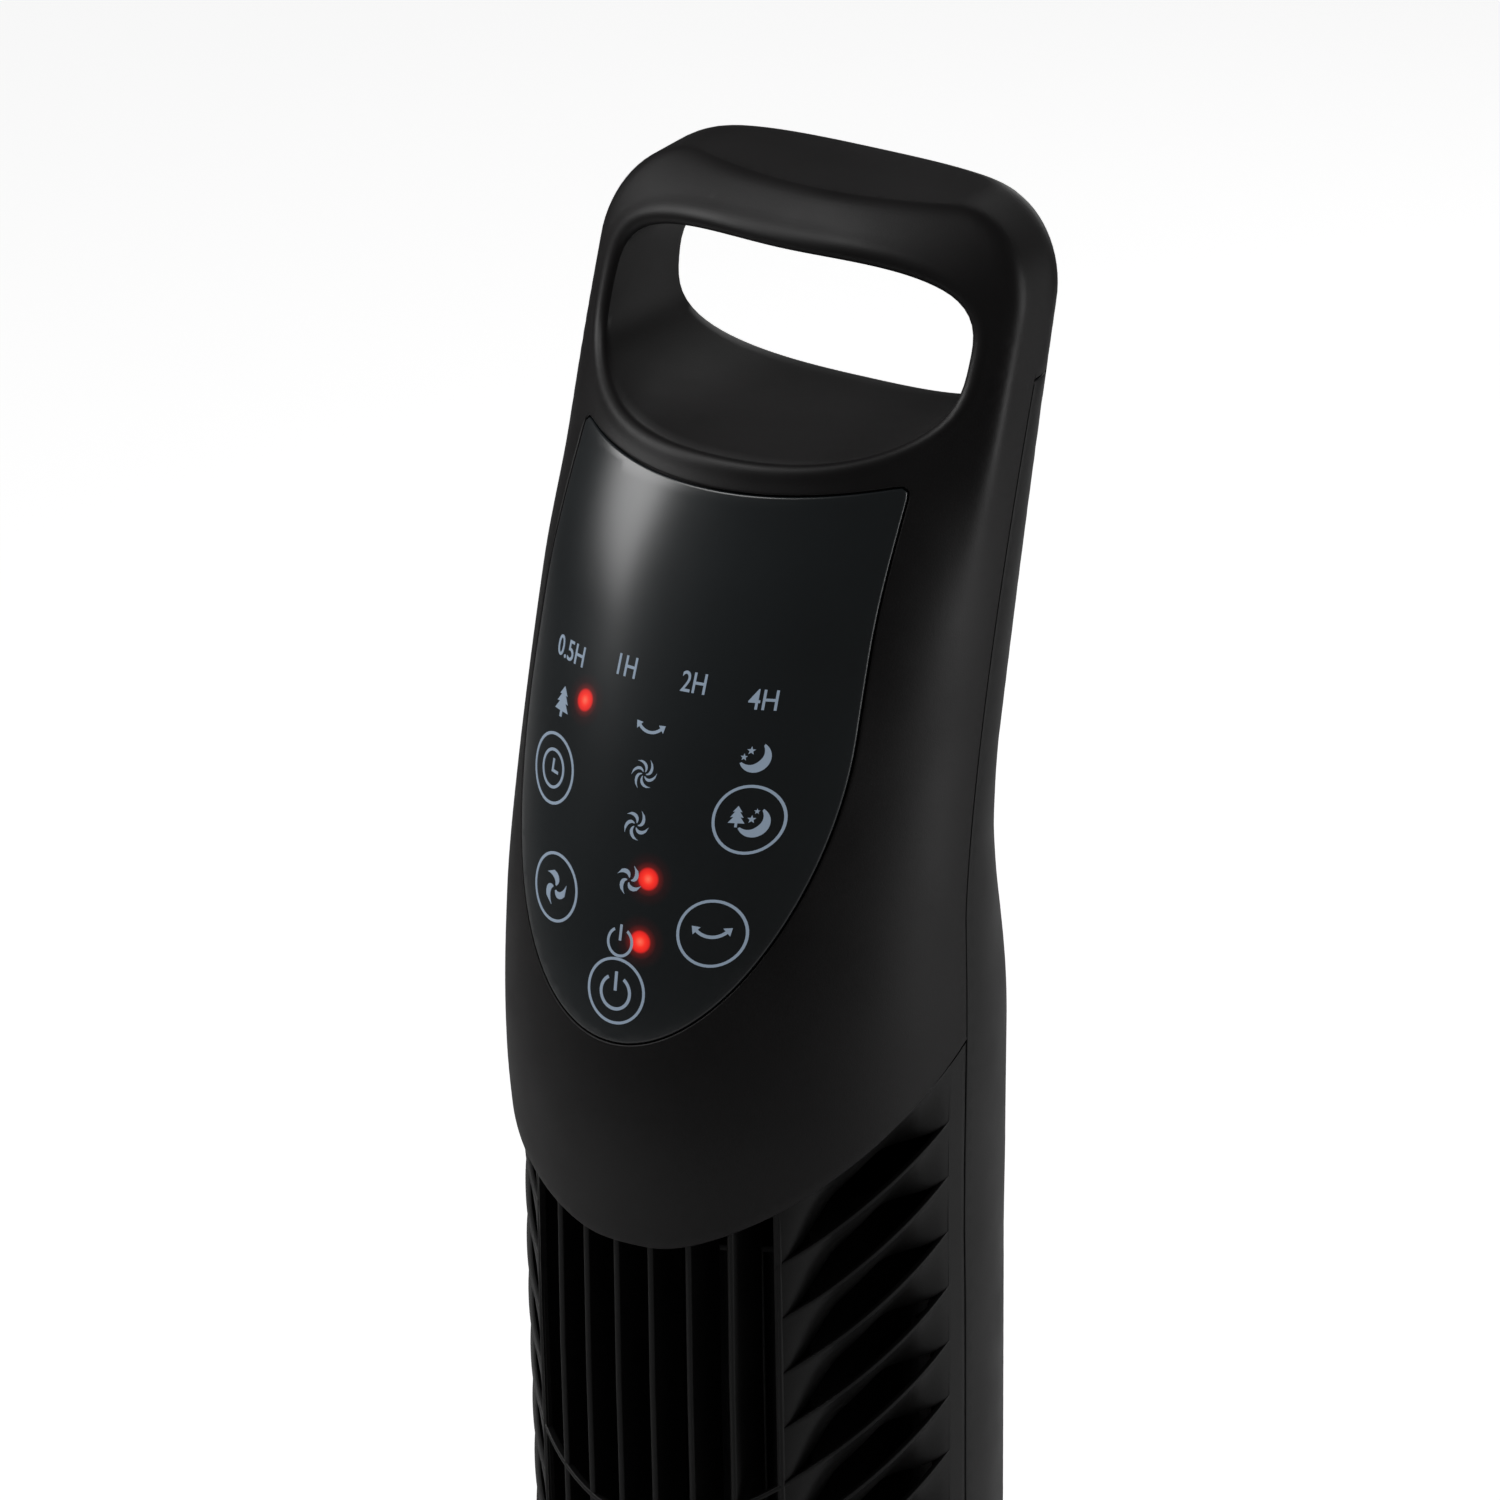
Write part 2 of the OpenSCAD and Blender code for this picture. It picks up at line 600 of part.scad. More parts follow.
// Hand opening: an oblong with well rounded ends, cut straight through from front to back
grip_mid = head_z + 276.5 + grip_h / 2;
grip_steps = 48;
function oblong(half_width, half_height, power) = [for (i = [0:grip_steps - 1]) let(a = 360 * i / grip_steps)
  [half_width * signed_pow(cos(a), 2 / power), half_height * signed_pow(sin(a), 2 / power)]];
module grip_cut() xz_extrude(-big / 2, big / 2)
  translate([0, grip_mid]) polygon(oblong(grip_w / 2, grip_h / 2, 3));

// Outline of the lens: a shield with a dipped top edge and a half-elliptic foot
lens_top = 267.3;
lens_mid = 200;
lens_low = 102.5;
module lens_outline(shrink) {
  half = lens_w / 2 - shrink;
  top_half = half - 1.5;
  drop = lens_mid - lens_low - shrink;
  top_edge = [for (i = [-6:6]) let(x = top_half * i / 6) [-x, lens_top + 0.00125 * x * x - shrink]];
  foot = [for (i = [0:20]) let(a = 180 + 9 * i) [half * cos(a), lens_mid + drop * sin(a)]];
  translate([0, head_z]) polygon(concat(top_edge, foot));
}
module front_shell() color([0.11, 0.105, 0.1]) difference() {
  intersection() {
    head_outside();
    in_front_of_seam();
    above_cover_edge();
  }
  head_inside(wall);
  grip_cut();
  xz_extrude(-big / 2, 20) lens_outline(0);
}
module control_lens() color([0.02, 0.02, 0.03]) difference() {
  intersection() {
    head_outside();
    xz_extrude(-big / 2, 20) lens_outline(lens_gap);
  }
  head_inside(lens_t);
}

// ---- Electronics behind the lens --------------------------------------------------------------------
board_lean = 17;
board_low = 108;
board_l = 128;
board_w = 84;
module on_board() translate([0, front_y(board_low) + 26, head_z + board_low])
  rotate([-board_lean, 0, 0]) children();
module control_board() color([0.1, 0.3, 0.14])
  on_board() translate([-board_w / 2, 0, 0]) cube([board_w, 1.6, board_l]);
key_places = [[-37, 76], [36, 76], [-28, 42], [29, 40], [0, 17]];
led_places = [[-37, 112], [-13, 113], [13, 113], [35, 112], [-27, 100], [0, 98], [28, 98], [8, 86], [8, 70],
  [8, 54], [8, 34]];
module touch_springs() color([0.75, 0.75, 0.78])
  for (p = key_places) on_board() translate([p[0], 0, p[1]]) rotate([90, 0, 0]) difference() {
    cylinder(h = 6, r = 4);
    translate([0, 0, 0.5]) cylinder(h = 7, r = 3.2);
  }
module indicator_leds() color([0.8, 0.05, 0.04])
  for (p = led_places) on_board() translate([p[0], 0, p[1]]) rotate([90, 0, 0]) {
    cylinder(h = 3.5, r = 1.5);
    translate([0, 0, 3.5]) sphere(r = 1.5);
  }
module ir_receiver() color([0.05, 0.05, 0.06])
  on_board() translate([-3, -5, 118]) cube([6, 5, 7]);
module buzzer() color([0.08, 0.08, 0.08])
  on_board() translate([20, 1.6, 30]) rotate([-90, 0, 0]) cylinder(h = 8, r = 6);

base_cover();
base_plate();
ballast();
rubber_feet();
base_screws();
spindle_bush();
slide_ring();
swing_motor();
crank_arm();
crank_pin();
turntable();
spindle_clip();
turntable_screws();
lower_shroud();
cord_gland();
motor_housing();
motor_stator();
motor_windings();
motor_plate();
rubber_mounts();
main_board();
run_capacitor();
motor_shaft();
motor_core();
drive_hub();
impeller();
impeller_stub();
duct_floor();
duct_scroll();
duct_tongue();
bearing_bracket();
upper_bearing();
rear_shell();
rear_grille();
front_grille();
front_shell();
control_lens();
control_board();
touch_springs();
indicator_leds();
ir_receiver();
buzzer();
shell_screws();
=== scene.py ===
import math

import bmesh
import bpy
from mathutils import Matrix, Vector, geometry, kdtree


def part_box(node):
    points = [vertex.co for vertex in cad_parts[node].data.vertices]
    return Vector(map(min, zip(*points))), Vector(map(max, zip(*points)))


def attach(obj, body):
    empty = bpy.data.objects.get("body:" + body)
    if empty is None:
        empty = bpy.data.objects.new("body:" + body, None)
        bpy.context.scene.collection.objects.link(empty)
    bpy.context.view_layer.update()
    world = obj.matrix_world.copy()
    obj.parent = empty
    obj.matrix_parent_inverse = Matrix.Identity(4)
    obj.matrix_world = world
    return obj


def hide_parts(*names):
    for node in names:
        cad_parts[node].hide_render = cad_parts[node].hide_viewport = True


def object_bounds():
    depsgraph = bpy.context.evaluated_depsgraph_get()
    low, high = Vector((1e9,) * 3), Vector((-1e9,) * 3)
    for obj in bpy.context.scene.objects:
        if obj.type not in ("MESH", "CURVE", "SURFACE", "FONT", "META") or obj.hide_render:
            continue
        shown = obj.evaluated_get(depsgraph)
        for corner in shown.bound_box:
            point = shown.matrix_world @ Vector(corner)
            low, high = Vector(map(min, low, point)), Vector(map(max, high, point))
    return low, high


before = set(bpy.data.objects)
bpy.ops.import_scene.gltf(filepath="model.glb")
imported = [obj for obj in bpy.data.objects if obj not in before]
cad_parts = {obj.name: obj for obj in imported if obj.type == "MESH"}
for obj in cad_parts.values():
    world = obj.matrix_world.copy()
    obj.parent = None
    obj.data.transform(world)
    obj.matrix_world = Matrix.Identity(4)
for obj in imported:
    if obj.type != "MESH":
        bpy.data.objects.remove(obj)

cad_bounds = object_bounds()
MM = 0.001
PI = math.pi
TINY = 1e-4
HALVINGS = 26

# ---- Sizes of the head and the column, in millimetres ----
COLUMN_R = 75.0
TOP_LIFT = 0.4
HEAD_H = 346.0
CORNER_R = 30.0
TOP_ROUND = 2.2
SHOULDER = HEAD_H - CORNER_R
HEAD_Z = cad_bounds[1].z / MM - HEAD_H + TOP_LIFT
SHROUD_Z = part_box("lower_shroud")[0].z / MM
DUCT_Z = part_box("front_grille")[0].z / MM
FOOT_TAPER = 7.0 / (HEAD_Z - SHROUD_Z)
COVER_LOW = 32.5
COVER_SWEEP = 57.5
SWEEP_POWER = 0.74
SWEEP_SMOOTH = 0.02
NOTCH_H = 295.0
WALL = 2.5
SHELL_EDGE = 0.6
CREASE_SETBACK = 17.3
CREASE_ROUND = 3.0
ARC_TOP = SHOULDER + CORNER_R * PI / 2
DUCT_LOW = DUCT_Z - HEAD_Z
SEAM_U = PI * COLUMN_R

# Swells of the head: how much, the height where each starts, and the stretch it takes
SIDE_SWELL = (2.0, 20.0, 90.0)
BELLY = (9.0, 15.0, 65.0)
BACK_SWELL = (2.5, 0.0, 40.0)
WAIST = (19.5, 80.0, 98.0)
CREASE = (1.0, 225.0, 70.0)
# Leans of the head: how much, the start, the stretch and the power of the curve
FRONT_LEAN = (106.0, 85.0, 258.0, 1.7)
TOP_LEAN = (8.0, 326.0, 19.0, 1.6)
SEAM_LEAN = (61.0, 130.0, 213.0, 1.4)
BACK_LEAN = (16.5, 180.0, 163.0, 0.85)
# Growing squareness of the head's section, in front of the seam and behind it
FRONT_SQUARE = (1.0, 150.0, 193.0, 2.0)
BACK_SQUARE = (0.8, 150.0, 193.0, 1.0)


def ease(t):
    t = min(1.0, max(0.0, t))
    return t * t * (3 - 2 * t)


def swell(h, amount, start, span):
    """A smooth step from nothing to the amount."""
    return amount * ease((h - start) / span)


def rise(h, amount, start, span, power):
    """A curve that leaves zero at the start and reaches the amount after the span."""
    return amount * (max(0.0, h - start) / span) ** power


def round_drop(depth, radius):
    """How far a rounded edge has dropped at a depth into its radius."""
    depth = min(radius, max(0.0, depth))
    return radius - math.sqrt(radius * radius - depth * depth)


def column_r(h):
    return COLUMN_R + FOOT_TAPER * min(h, 0.0)


def half_width(h):
    return column_r(h) + swell(h, *SIDE_SWELL) - round_drop(h - SHOULDER, CORNER_R)


def front_y(h):
    lean = rise(h, *FRONT_LEAN) + rise(h, *TOP_LEAN)
    return -column_r(h) - swell(h, *BELLY) + lean + round_drop(h - HEAD_H + TOP_ROUND, TOP_ROUND)


def seam_y(h):
    return rise(h, *SEAM_LEAN)


def back_y(h):
    waist = swell(h, *WAIST) - rise(h, *BACK_LEAN)
    return column_r(h) + swell(h, *BACK_SWELL) - waist - round_drop(h - HEAD_H + TOP_ROUND, TOP_ROUND)


def soft_min(a, b, k):
    """The smaller of two values, blended over k where they meet."""
    t = min(1.0, max(0.0, 0.5 + 0.5 * (b - a) / k))
    return b * (1 - t) + a * t - k * t * (1 - t)


def head_radius(phi, h):
    """Distance of the head's surface from the seam axis; phi runs from the right seam over the front."""
    c, s = abs(math.cos(phi)), abs(math.sin(phi))
    w = half_width(h)
    front = math.sin(phi) >= 0
    depth = seam_y(h) - front_y(h) if front else back_y(h) - seam_y(h)
    n = 2 + rise(h, *(FRONT_SQUARE if front else BACK_SQUARE))
    soft = ((c / w) ** n + (s / depth) ** n) ** (-1 / n)
    crease = swell(h, *CREASE)
    if not front or crease == 0:
        return soft
    # Above the lens the front is a shallow curved face that meets flat sides in a soft crease
    c = max(c, TINY)
    bend = (depth - CREASE_SETBACK) / (w * w) * c ** 2
    face = (math.sqrt(s * s + 4 * bend * depth) - s) / (2 * bend)
    side = w / c
    return soft * (1 - crease) + crease * soft_min(face, side, CREASE_ROUND)


def head_at(phi, h):
    r = head_radius(phi, h)
    return Vector((r * math.cos(phi), seam_y(h) - r * math.sin(phi), HEAD_Z + h))


def head_point(phi, v, lift=0.0):
    """Point of the head at arc height v, moved out along the surface normal by lift."""
    point = head_at(phi, height(v))
    if lift == 0:
        return point
    turn, climb = 0.004, 0.3
    along = head_at(phi + turn, height(v)) - head_at(phi - turn, height(v))
    up = head_at(phi, height(min(v + climb, ARC_TOP))) - head_at(phi, height(v - climb))
    return point + lift * up.cross(along).normalized()


def height(v):
    """Height of a point from its arc height, which follows the rounded shoulder; arc_height() goes back."""
    return v if v <= SHOULDER else SHOULDER + CORNER_R * math.sin((v - SHOULDER) / CORNER_R)


def arc_height(h):
    return h if h <= SHOULDER else SHOULDER + CORNER_R * math.asin(min(1.0, (h - SHOULDER) / CORNER_R))


def phi_at(x, h, rear=False):
    """Angle at which the head's surface has the given X, by halving the interval."""
    low, high = (PI, 2 * PI) if rear else (0.0, PI)
    for _ in range(HALVINGS):
        mid = (low + high) / 2
        value = head_radius(mid, h) * math.cos(mid)
        if (value > x) != rear:
            low = mid
        else:
            high = mid
    return (low + high) / 2


def cover_edge(phi):
    """Height of the cover's lower edge, and of every louvre below it, as a curve over the angle."""
    gap = max(0.0, 1 - math.sin(phi))
    smooth = SWEEP_SMOOTH ** SWEEP_POWER
    curve = (gap * gap + SWEEP_SMOOTH ** 2) ** (SWEEP_POWER / 2) - smooth
    return COVER_LOW + COVER_SWEEP * curve / (1 - smooth)


# ---- Outlines in the front view ----
def oblong(half_x, half_z, mid, power, count=112):
    """Closed outline with well rounded ends, its points evenly spaced."""
    fine = []
    fine_count = 720
    for i in range(fine_count):
        a = 2 * PI * i / fine_count
        c, s = math.cos(a), math.sin(a)
        x = half_x * math.copysign(abs(c) ** (2 / power), c)
        fine.append((x, mid + half_z * math.copysign(abs(s) ** (2 / power), s)))
    return resample(fine, count)


def resample(points, count):
    """The closed outline again with evenly spaced points."""
    steps = [math.dist(points[i], points[(i + 1) % len(points)]) for i in range(len(points))]
    total, out, i, passed = sum(steps), [], 0, 0.0
    for k in range(count):
        target = total * k / count
        while passed + steps[i] < target:
            passed += steps[i]
            i += 1
        t = (target - passed) / steps[i] if steps[i] else 0
        a, b = points[i], points[(i + 1) % len(points)]
        out.append((a[0] + (b[0] - a[0]) * t, a[1] + (b[1] - a[1]) * t))
    return out


def grow(outline, distance):
    """The outline moved outwards by a distance; it runs anticlockwise."""
    out = []
    for i, p in enumerate(outline):
        a, b = outline[i - 1], outline[(i + 1) % len(outline)]
        dx, dz = b[0] - a[0], b[1] - a[1]
        size = math.hypot(dx, dz)
        out.append((p[0] + distance * dz / size, p[1] - distance * dx / size))
    return out


LENS_HALF = 60.0
LENS_TOP = 267.3
LENS_MID = 200.0
LENS_LOW = 102.5
LENS_CORNER = 3.0
LENS_DIP = 0.00125


def arc(x, z, half_x, half_z, start, turn, steps):
    """Points on part of an ellipse; the start and the turn are angles."""
    return [(x + half_x * math.cos(start + turn * i / steps), z + half_z * math.sin(start + turn * i / steps))
            for i in range(steps + 1)]


def lens_outline(count=220):
    """Shield with a dipped top edge, straight sides and a half-elliptic foot."""
    def top(x):
        return LENS_TOP + LENS_DIP * x * x

    corner_x = LENS_HALF - LENS_CORNER
    corner_z = top(corner_x) - LENS_CORNER
    fine = arc(0, LENS_MID, LENS_HALF, LENS_MID - LENS_LOW, PI, PI, 160)
    fine += arc(corner_x, corner_z, LENS_CORNER, LENS_CORNER, 0, PI / 2, 12)
    fine += [(x, top(x)) for x in (corner_x - 2 * corner_x * i / 60 for i in range(1, 60))]
    fine += arc(-corner_x, corner_z, LENS_CORNER, LENS_CORNER, PI / 2, PI / 2, 12)
    return resample(fine, count)


def inside(point, outline):
    """Whether a point lies in a closed outline, by counting the crossings on its way out."""
    hit = False
    x, y = point
    for i in range(len(outline)):
        (x0, y0), (x1, y1) = outline[i - 1], outline[i]
        if (y0 > y) != (y1 > y) and x < x0 + (y - y0) * (x1 - x0) / (y1 - y0):
            hit = not hit
    return hit


# ---- Patch: a triangulated piece of the head's surface ----
class Patch:
    """Collects outlines in (arc angle, arc height) and turns them into one surface mesh."""

    def __init__(self):
        self.points, self.edges = [], []

    def line(self, points, closed=False):
        """Adds a polyline of (u, v, lift) and returns the numbers of its points."""
        start = len(self.points)
        ids = list(range(start, start + len(points)))
        self.points += points
        self.edges += list(zip(ids, ids[1:]))
        if closed:
            self.edges.append((ids[-1], ids[0]))
        return ids

    def border(self, points, inward, radius):
        """Adds lines beside a free edge, each lower than the last, that round it over."""
        for distance, drop in round_over(radius, EDGE_STEPS):
            self.line([(u + inward[0] * distance, v + inward[1] * distance, -drop) for u, v in points])

    def fill(self, u_range, v_range, pitch, keep, clear):
        """Adds a hexagonal grid of loose points wherever keep() allows, clear of the lines."""
        tree = kdtree.KDTree(len(self.points))
        for i, p in enumerate(self.points):
            tree.insert((p[0], p[1], 0), i)
        tree.balance()
        row_step = pitch * 0.866
        for j in range(int((v_range[1] - v_range[0]) / row_step) + 1):
            v = v_range[0] + j * row_step
            for i in range(int((u_range[1] - u_range[0]) / pitch) + 2):
                u = u_range[0] + (i + 0.5 * (j % 2)) * pitch
                if keep(u, v) and tree.find((u, v, 0))[2] > clear:
                    self.points.append((u, v, 0.0))

    def build(self, mesh, keep):
        """Triangulates, drops faces outside keep(), and returns the vertices by point number."""
        flat = [Vector((p[0], p[1])) for p in self.points]
        verts, _, faces, origins, _, _ = geometry.delaunay_2d_cdt(flat, self.edges, [], 0, 1e-6)
        made, by_id = [], {}
        for co, origin in zip(verts, origins):
            lift = self.points[origin[0]][2] if origin else 0.0
            made.append(mesh.verts.new(head_point(co.x / COLUMN_R, co.y, lift)))
            for o in origin:
                by_id[o] = made[-1]
        for face in faces:
            middle = sum((verts[i] for i in face), Vector((0, 0))) / len(face)
            if keep(middle.x, middle.y):
                mesh.faces.new([made[i] for i in reversed(face)])
        return by_id


def stitch(mesh, first, second, closed=True):
    """Quads between two rows of vertices with the same count."""
    count = len(first) if closed else len(first) - 1
    for i in range(count):
        j = (i + 1) % len(first)
        if len({first[i], first[j], second[j], second[i]}) == 4:
            mesh.faces.new((first[i], first[j], second[j], second[i]))


def project(outline, lift, rear=False):
    """An outline of (X, height) laid on the head, as (arc angle, arc height, lift)."""
    return [(phi_at(x, h, rear) * COLUMN_R, arc_height(h), lift) for x, h in outline]


def footprint(outline, rear=False):
    return [(u, v) for u, v, _ in project(outline, 0, rear)]


ROUND_STEPS = (0, 18, 36, 54, 72, 90)
EDGE_STEPS = (0, 30, 60, 90)


def round_over(radius, angles=ROUND_STEPS):
    """Steps of a rounded edge, as the distance left to the edge and the drop."""
    return [(radius * (1 - math.sin(a)), radius * (1 - math.cos(a))) for a in map(math.radians, angles)]


def rounded_rings(patch, outline, radius, raise_at=lambda d: 0.0, rear=False, outer=()):
    """Rings round an opening: flat ones at the outer distances, then a rounded edge down to it."""
    for distance in outer:
        patch.line(project(grow(outline, distance), raise_at(distance), rear), closed=True)
    for distance, drop in round_over(radius):
        last = patch.line(project(grow(outline, distance), raise_at(radius) - drop, rear), closed=True)
    return last


def spaced(low, high, pitch):
    count = max(2, round(abs(high - low) / pitch))
    return [low + (high - low) * i / count for i in range(count + 1)]


def settle(mesh, front=True):
    """Drops loose points and turns a patch's faces outwards, judged by the foremost or hindmost face."""
    bmesh.ops.delete(mesh, geom=[v for v in mesh.verts if not v.link_faces], context="VERTS")
    bmesh.ops.recalc_face_normals(mesh, faces=mesh.faces)
    outward = -1 if front else 1
    probe = max(mesh.faces, key=lambda f: outward * f.calc_center_median().y)
    if outward * probe.normal.y < 0:
        bmesh.ops.reverse_faces(mesh, faces=mesh.faces)


# ---- Objects ----
def add_object(name, data):
    obj = bpy.data.objects.new(name, data)
    bpy.context.scene.collection.objects.link(obj)
    return obj


def to_object(mesh, name, body, slot, replaced=(), sharp=35.0, thickness=0.0):
    """Turns a bmesh in millimetres into a finished, smooth-shaded object in metres that rides on a body."""
    mesh.verts.index_update()
    bmesh.ops.scale(mesh, vec=(MM, MM, MM), verts=mesh.verts)
    data = bpy.data.meshes.new(name)
    mesh.to_mesh(data)
    mesh.free()
    obj = add_object(name, data)
    if thickness:
        solid = obj.modifiers.new("wall", "SOLIDIFY")
        solid.thickness = thickness * MM
        solid.offset = -1
        solid.use_rim = True
        solid.use_quality_normals = True
        graph = bpy.context.evaluated_depsgraph_get()
        thick = bpy.data.meshes.new_from_object(obj.evaluated_get(graph))
        obj.modifiers.clear()
        obj.data = thick
        obj.data.name = name
    obj.data.polygons.foreach_set("use_smooth", [True] * len(obj.data.polygons))
    obj.data.set_sharp_from_angle(angle=math.radians(sharp))
    obj.data.materials.clear()
    obj.data.materials.append(MATERIALS[slot])
    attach(obj, body)
    if replaced:
        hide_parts(*replaced)
    return obj


def loft(mesh, sections):
    """Skins a list of sections, each a list of points, and caps the ends."""
    rows = [[mesh.verts.new(p) for p in section] for section in sections]
    for a, b in zip(rows, rows[1:]):
        stitch(mesh, a, b)
    mesh.faces.new(rows[0][::-1])
    mesh.faces.new(rows[-1])


def lathe(mesh, profile, steps=128, closed=False):
    """Turns a profile of (radius, height) round the Z axis; a radius of zero becomes a pole."""
    rows = []
    for r, z in profile:
        if r < 1e-6:
            rows.append([mesh.verts.new((0, 0, z))] * steps)
        else:
            rows.append([mesh.verts.new((r * math.cos(a), r * math.sin(a), z))
                         for a in (2 * PI * i / steps for i in range(steps))])
    pairs = list(zip(rows, rows[1:])) + ([(rows[-1], rows[0])] if closed else [])
    for a, b in pairs:
        for i in range(steps):
            j = (i + 1) % steps
            ring = list(dict.fromkeys((a[i], a[j], b[j], b[i])))
            if len(ring) > 2:
                mesh.faces.new(ring)


def soften(corners, radius, steps=5, closed=True):
    """Rounds the corners of a polyline in (r, z) with small arcs."""
    out = []
    count = len(corners)
    for i, p in enumerate(corners):
        if not closed and i in (0, count - 1):
            out.append(tuple(p))
            continue
        p = Vector(p)
        a, b = Vector(corners[i - 1]) - p, Vector(corners[(i + 1) % count]) - p
        reach = min(radius, a.length * 0.45, b.length * 0.45)
        start, end = p + a.normalized() * reach, p + b.normalized() * reach
        for k in range(steps + 1):
            t = k / steps
            q = start * (1 - t) ** 2 + p * 2 * t * (1 - t) + end * t * t
            out.append((q.x, q.y))
    return out


def turned(mesh, corners, radius, arc_steps, steps):
    """Turns a closed outline with rounded corners round the Z axis."""
    lathe(mesh, soften(corners, radius, arc_steps), steps, closed=True)


# ---- Materials ----
CLOUD_SPAN = (0.3, 0.7)


def put(node, **values):
    """Sets a node's inputs; an underscore stands for a space in the input's name."""
    for name, value in values.items():
        node.inputs[name.replace("_", " ")].default_value = value


def shader(name, color, rough, metal=0.0, grain=0.0, grain_size=0.4, mottle=0.12, rough_spread=0.06, coat=0.0,
           specular=0.5, coat_rough=0.04, extra=None):
    """Moulded or metal finish: slight colour mottle, roughness variation and a fine surface grain."""
    mat = bpy.data.materials.new(name)
    mat.use_nodes = True
    nodes, links = mat.node_tree.nodes, mat.node_tree.links
    out = nodes["Principled BSDF"]
    put(out, Metallic=metal, Coat_Weight=coat, Coat_Roughness=coat_rough, Specular_IOR_Level=specular)
    place = nodes.new("ShaderNodeTexCoord")
    cloud = nodes.new("ShaderNodeTexNoise")
    put(cloud, Scale=28.0, Detail=5.0)
    links.new(place.outputs["Object"], cloud.inputs["Vector"])
    tint = nodes.new("ShaderNodeValToRGB")
    for stop, position, share in zip(tint.color_ramp.elements, CLOUD_SPAN, (1 - mottle, 1 + mottle)):
        stop.position = position
        stop.color = (*[c * share for c in color], 1)
    links.new(cloud.outputs["Fac"], tint.inputs["Fac"])
    links.new(tint.outputs["Color"], out.inputs["Base Color"])
    spread = nodes.new("ShaderNodeMapRange")
    put(spread, From_Min=CLOUD_SPAN[0], From_Max=CLOUD_SPAN[1], To_Min=rough - rough_spread,
        To_Max=rough + rough_spread)
    links.new(cloud.outputs["Fac"], spread.inputs["Value"])
    links.new(spread.outputs["Result"], out.inputs["Roughness"])
    if grain:
        fine = nodes.new("ShaderNodeTexNoise")
        put(fine, Scale=1 / (grain_size * MM), Detail=3.0)
        links.new(place.outputs["Object"], fine.inputs["Vector"])
        bump = nodes.new("ShaderNodeBump")
        put(bump, Strength=grain, Distance=0.0001)
        links.new(fine.outputs["Fac"], bump.inputs["Height"])
        links.new(bump.outputs["Normal"], out.inputs["Normal"])
    if extra:
        extra(nodes, links, place, out)
    return mat


def striped(scale, dark, light):
    """Adds fine horizontal bands, as on wound copper or stacked laminations."""
    def add(nodes, links, place, out):
        wave = nodes.new("ShaderNodeTexWave")
        wave.bands_direction = "Z"
        put(wave, Scale=scale, Distortion=0.6)
        links.new(place.outputs["Object"], wave.inputs["Vector"])
        ramp = nodes.new("ShaderNodeValToRGB")
        ramp.color_ramp.elements[0].color = (*dark, 1)
        ramp.color_ramp.elements[1].color = (*light, 1)
        links.new(wave.outputs["Fac"], ramp.inputs["Fac"])
        links.new(ramp.outputs["Color"], out.inputs["Base Color"])
    return add


# Indicators that are lit, as X and height on the lens
LIT_LEDS = ((-27.3, 200.3), (7.7, 155.1), (7.5, 135.9))
LED_REACH = 0.0085
# Glow from the halo's edge to the middle of the dot, as stops of a colour ramp
LED_STOPS = ((0.0, (0, 0, 0)), (0.35, (0.012, 0, 0)), (0.56, (0.10, 0.003, 0.002)),
             (0.64, (0.75, 0.012, 0.008)), (0.80, (1.0, 0.03, 0.015)), (1.0, (1.0, 0.16, 0.09)))


def led_glow(nodes, links, place, out):
    """Red light showing through the lens: a bright dot and a faint halo at each lit indicator."""
    total = None
    for x, h in LIT_LEDS:
        spot = head_at(phi_at(x, h), h) * MM
        apart = nodes.new("ShaderNodeVectorMath")
        apart.operation = "DISTANCE"
        links.new(place.outputs["Object"], apart.inputs[0])
        apart.inputs[1].default_value = spot
        ramp = nodes.new("ShaderNodeMapRange")
        put(ramp, From_Min=0.0, From_Max=LED_REACH, To_Min=1.0, To_Max=0.0)
        links.new(apart.outputs["Value"], ramp.inputs["Value"])
        if total is None:
            total = ramp.outputs["Result"]
        else:
            join = nodes.new("ShaderNodeMath")
            join.operation = "MAXIMUM"
            links.new(total, join.inputs[0])
            links.new(ramp.outputs["Result"], join.inputs[1])
            total = join.outputs["Value"]
    glow = nodes.new("ShaderNodeValToRGB")
    while len(glow.color_ramp.elements) < len(LED_STOPS):
        glow.color_ramp.elements.new(0.5)
    for element, (at, color) in zip(glow.color_ramp.elements, LED_STOPS):
        element.position = at
        element.color = (*color, 1)
    links.new(total, glow.inputs["Fac"])
    links.new(glow.outputs["Color"], out.inputs["Emission Color"])
    put(out, Emission_Strength=1.0)


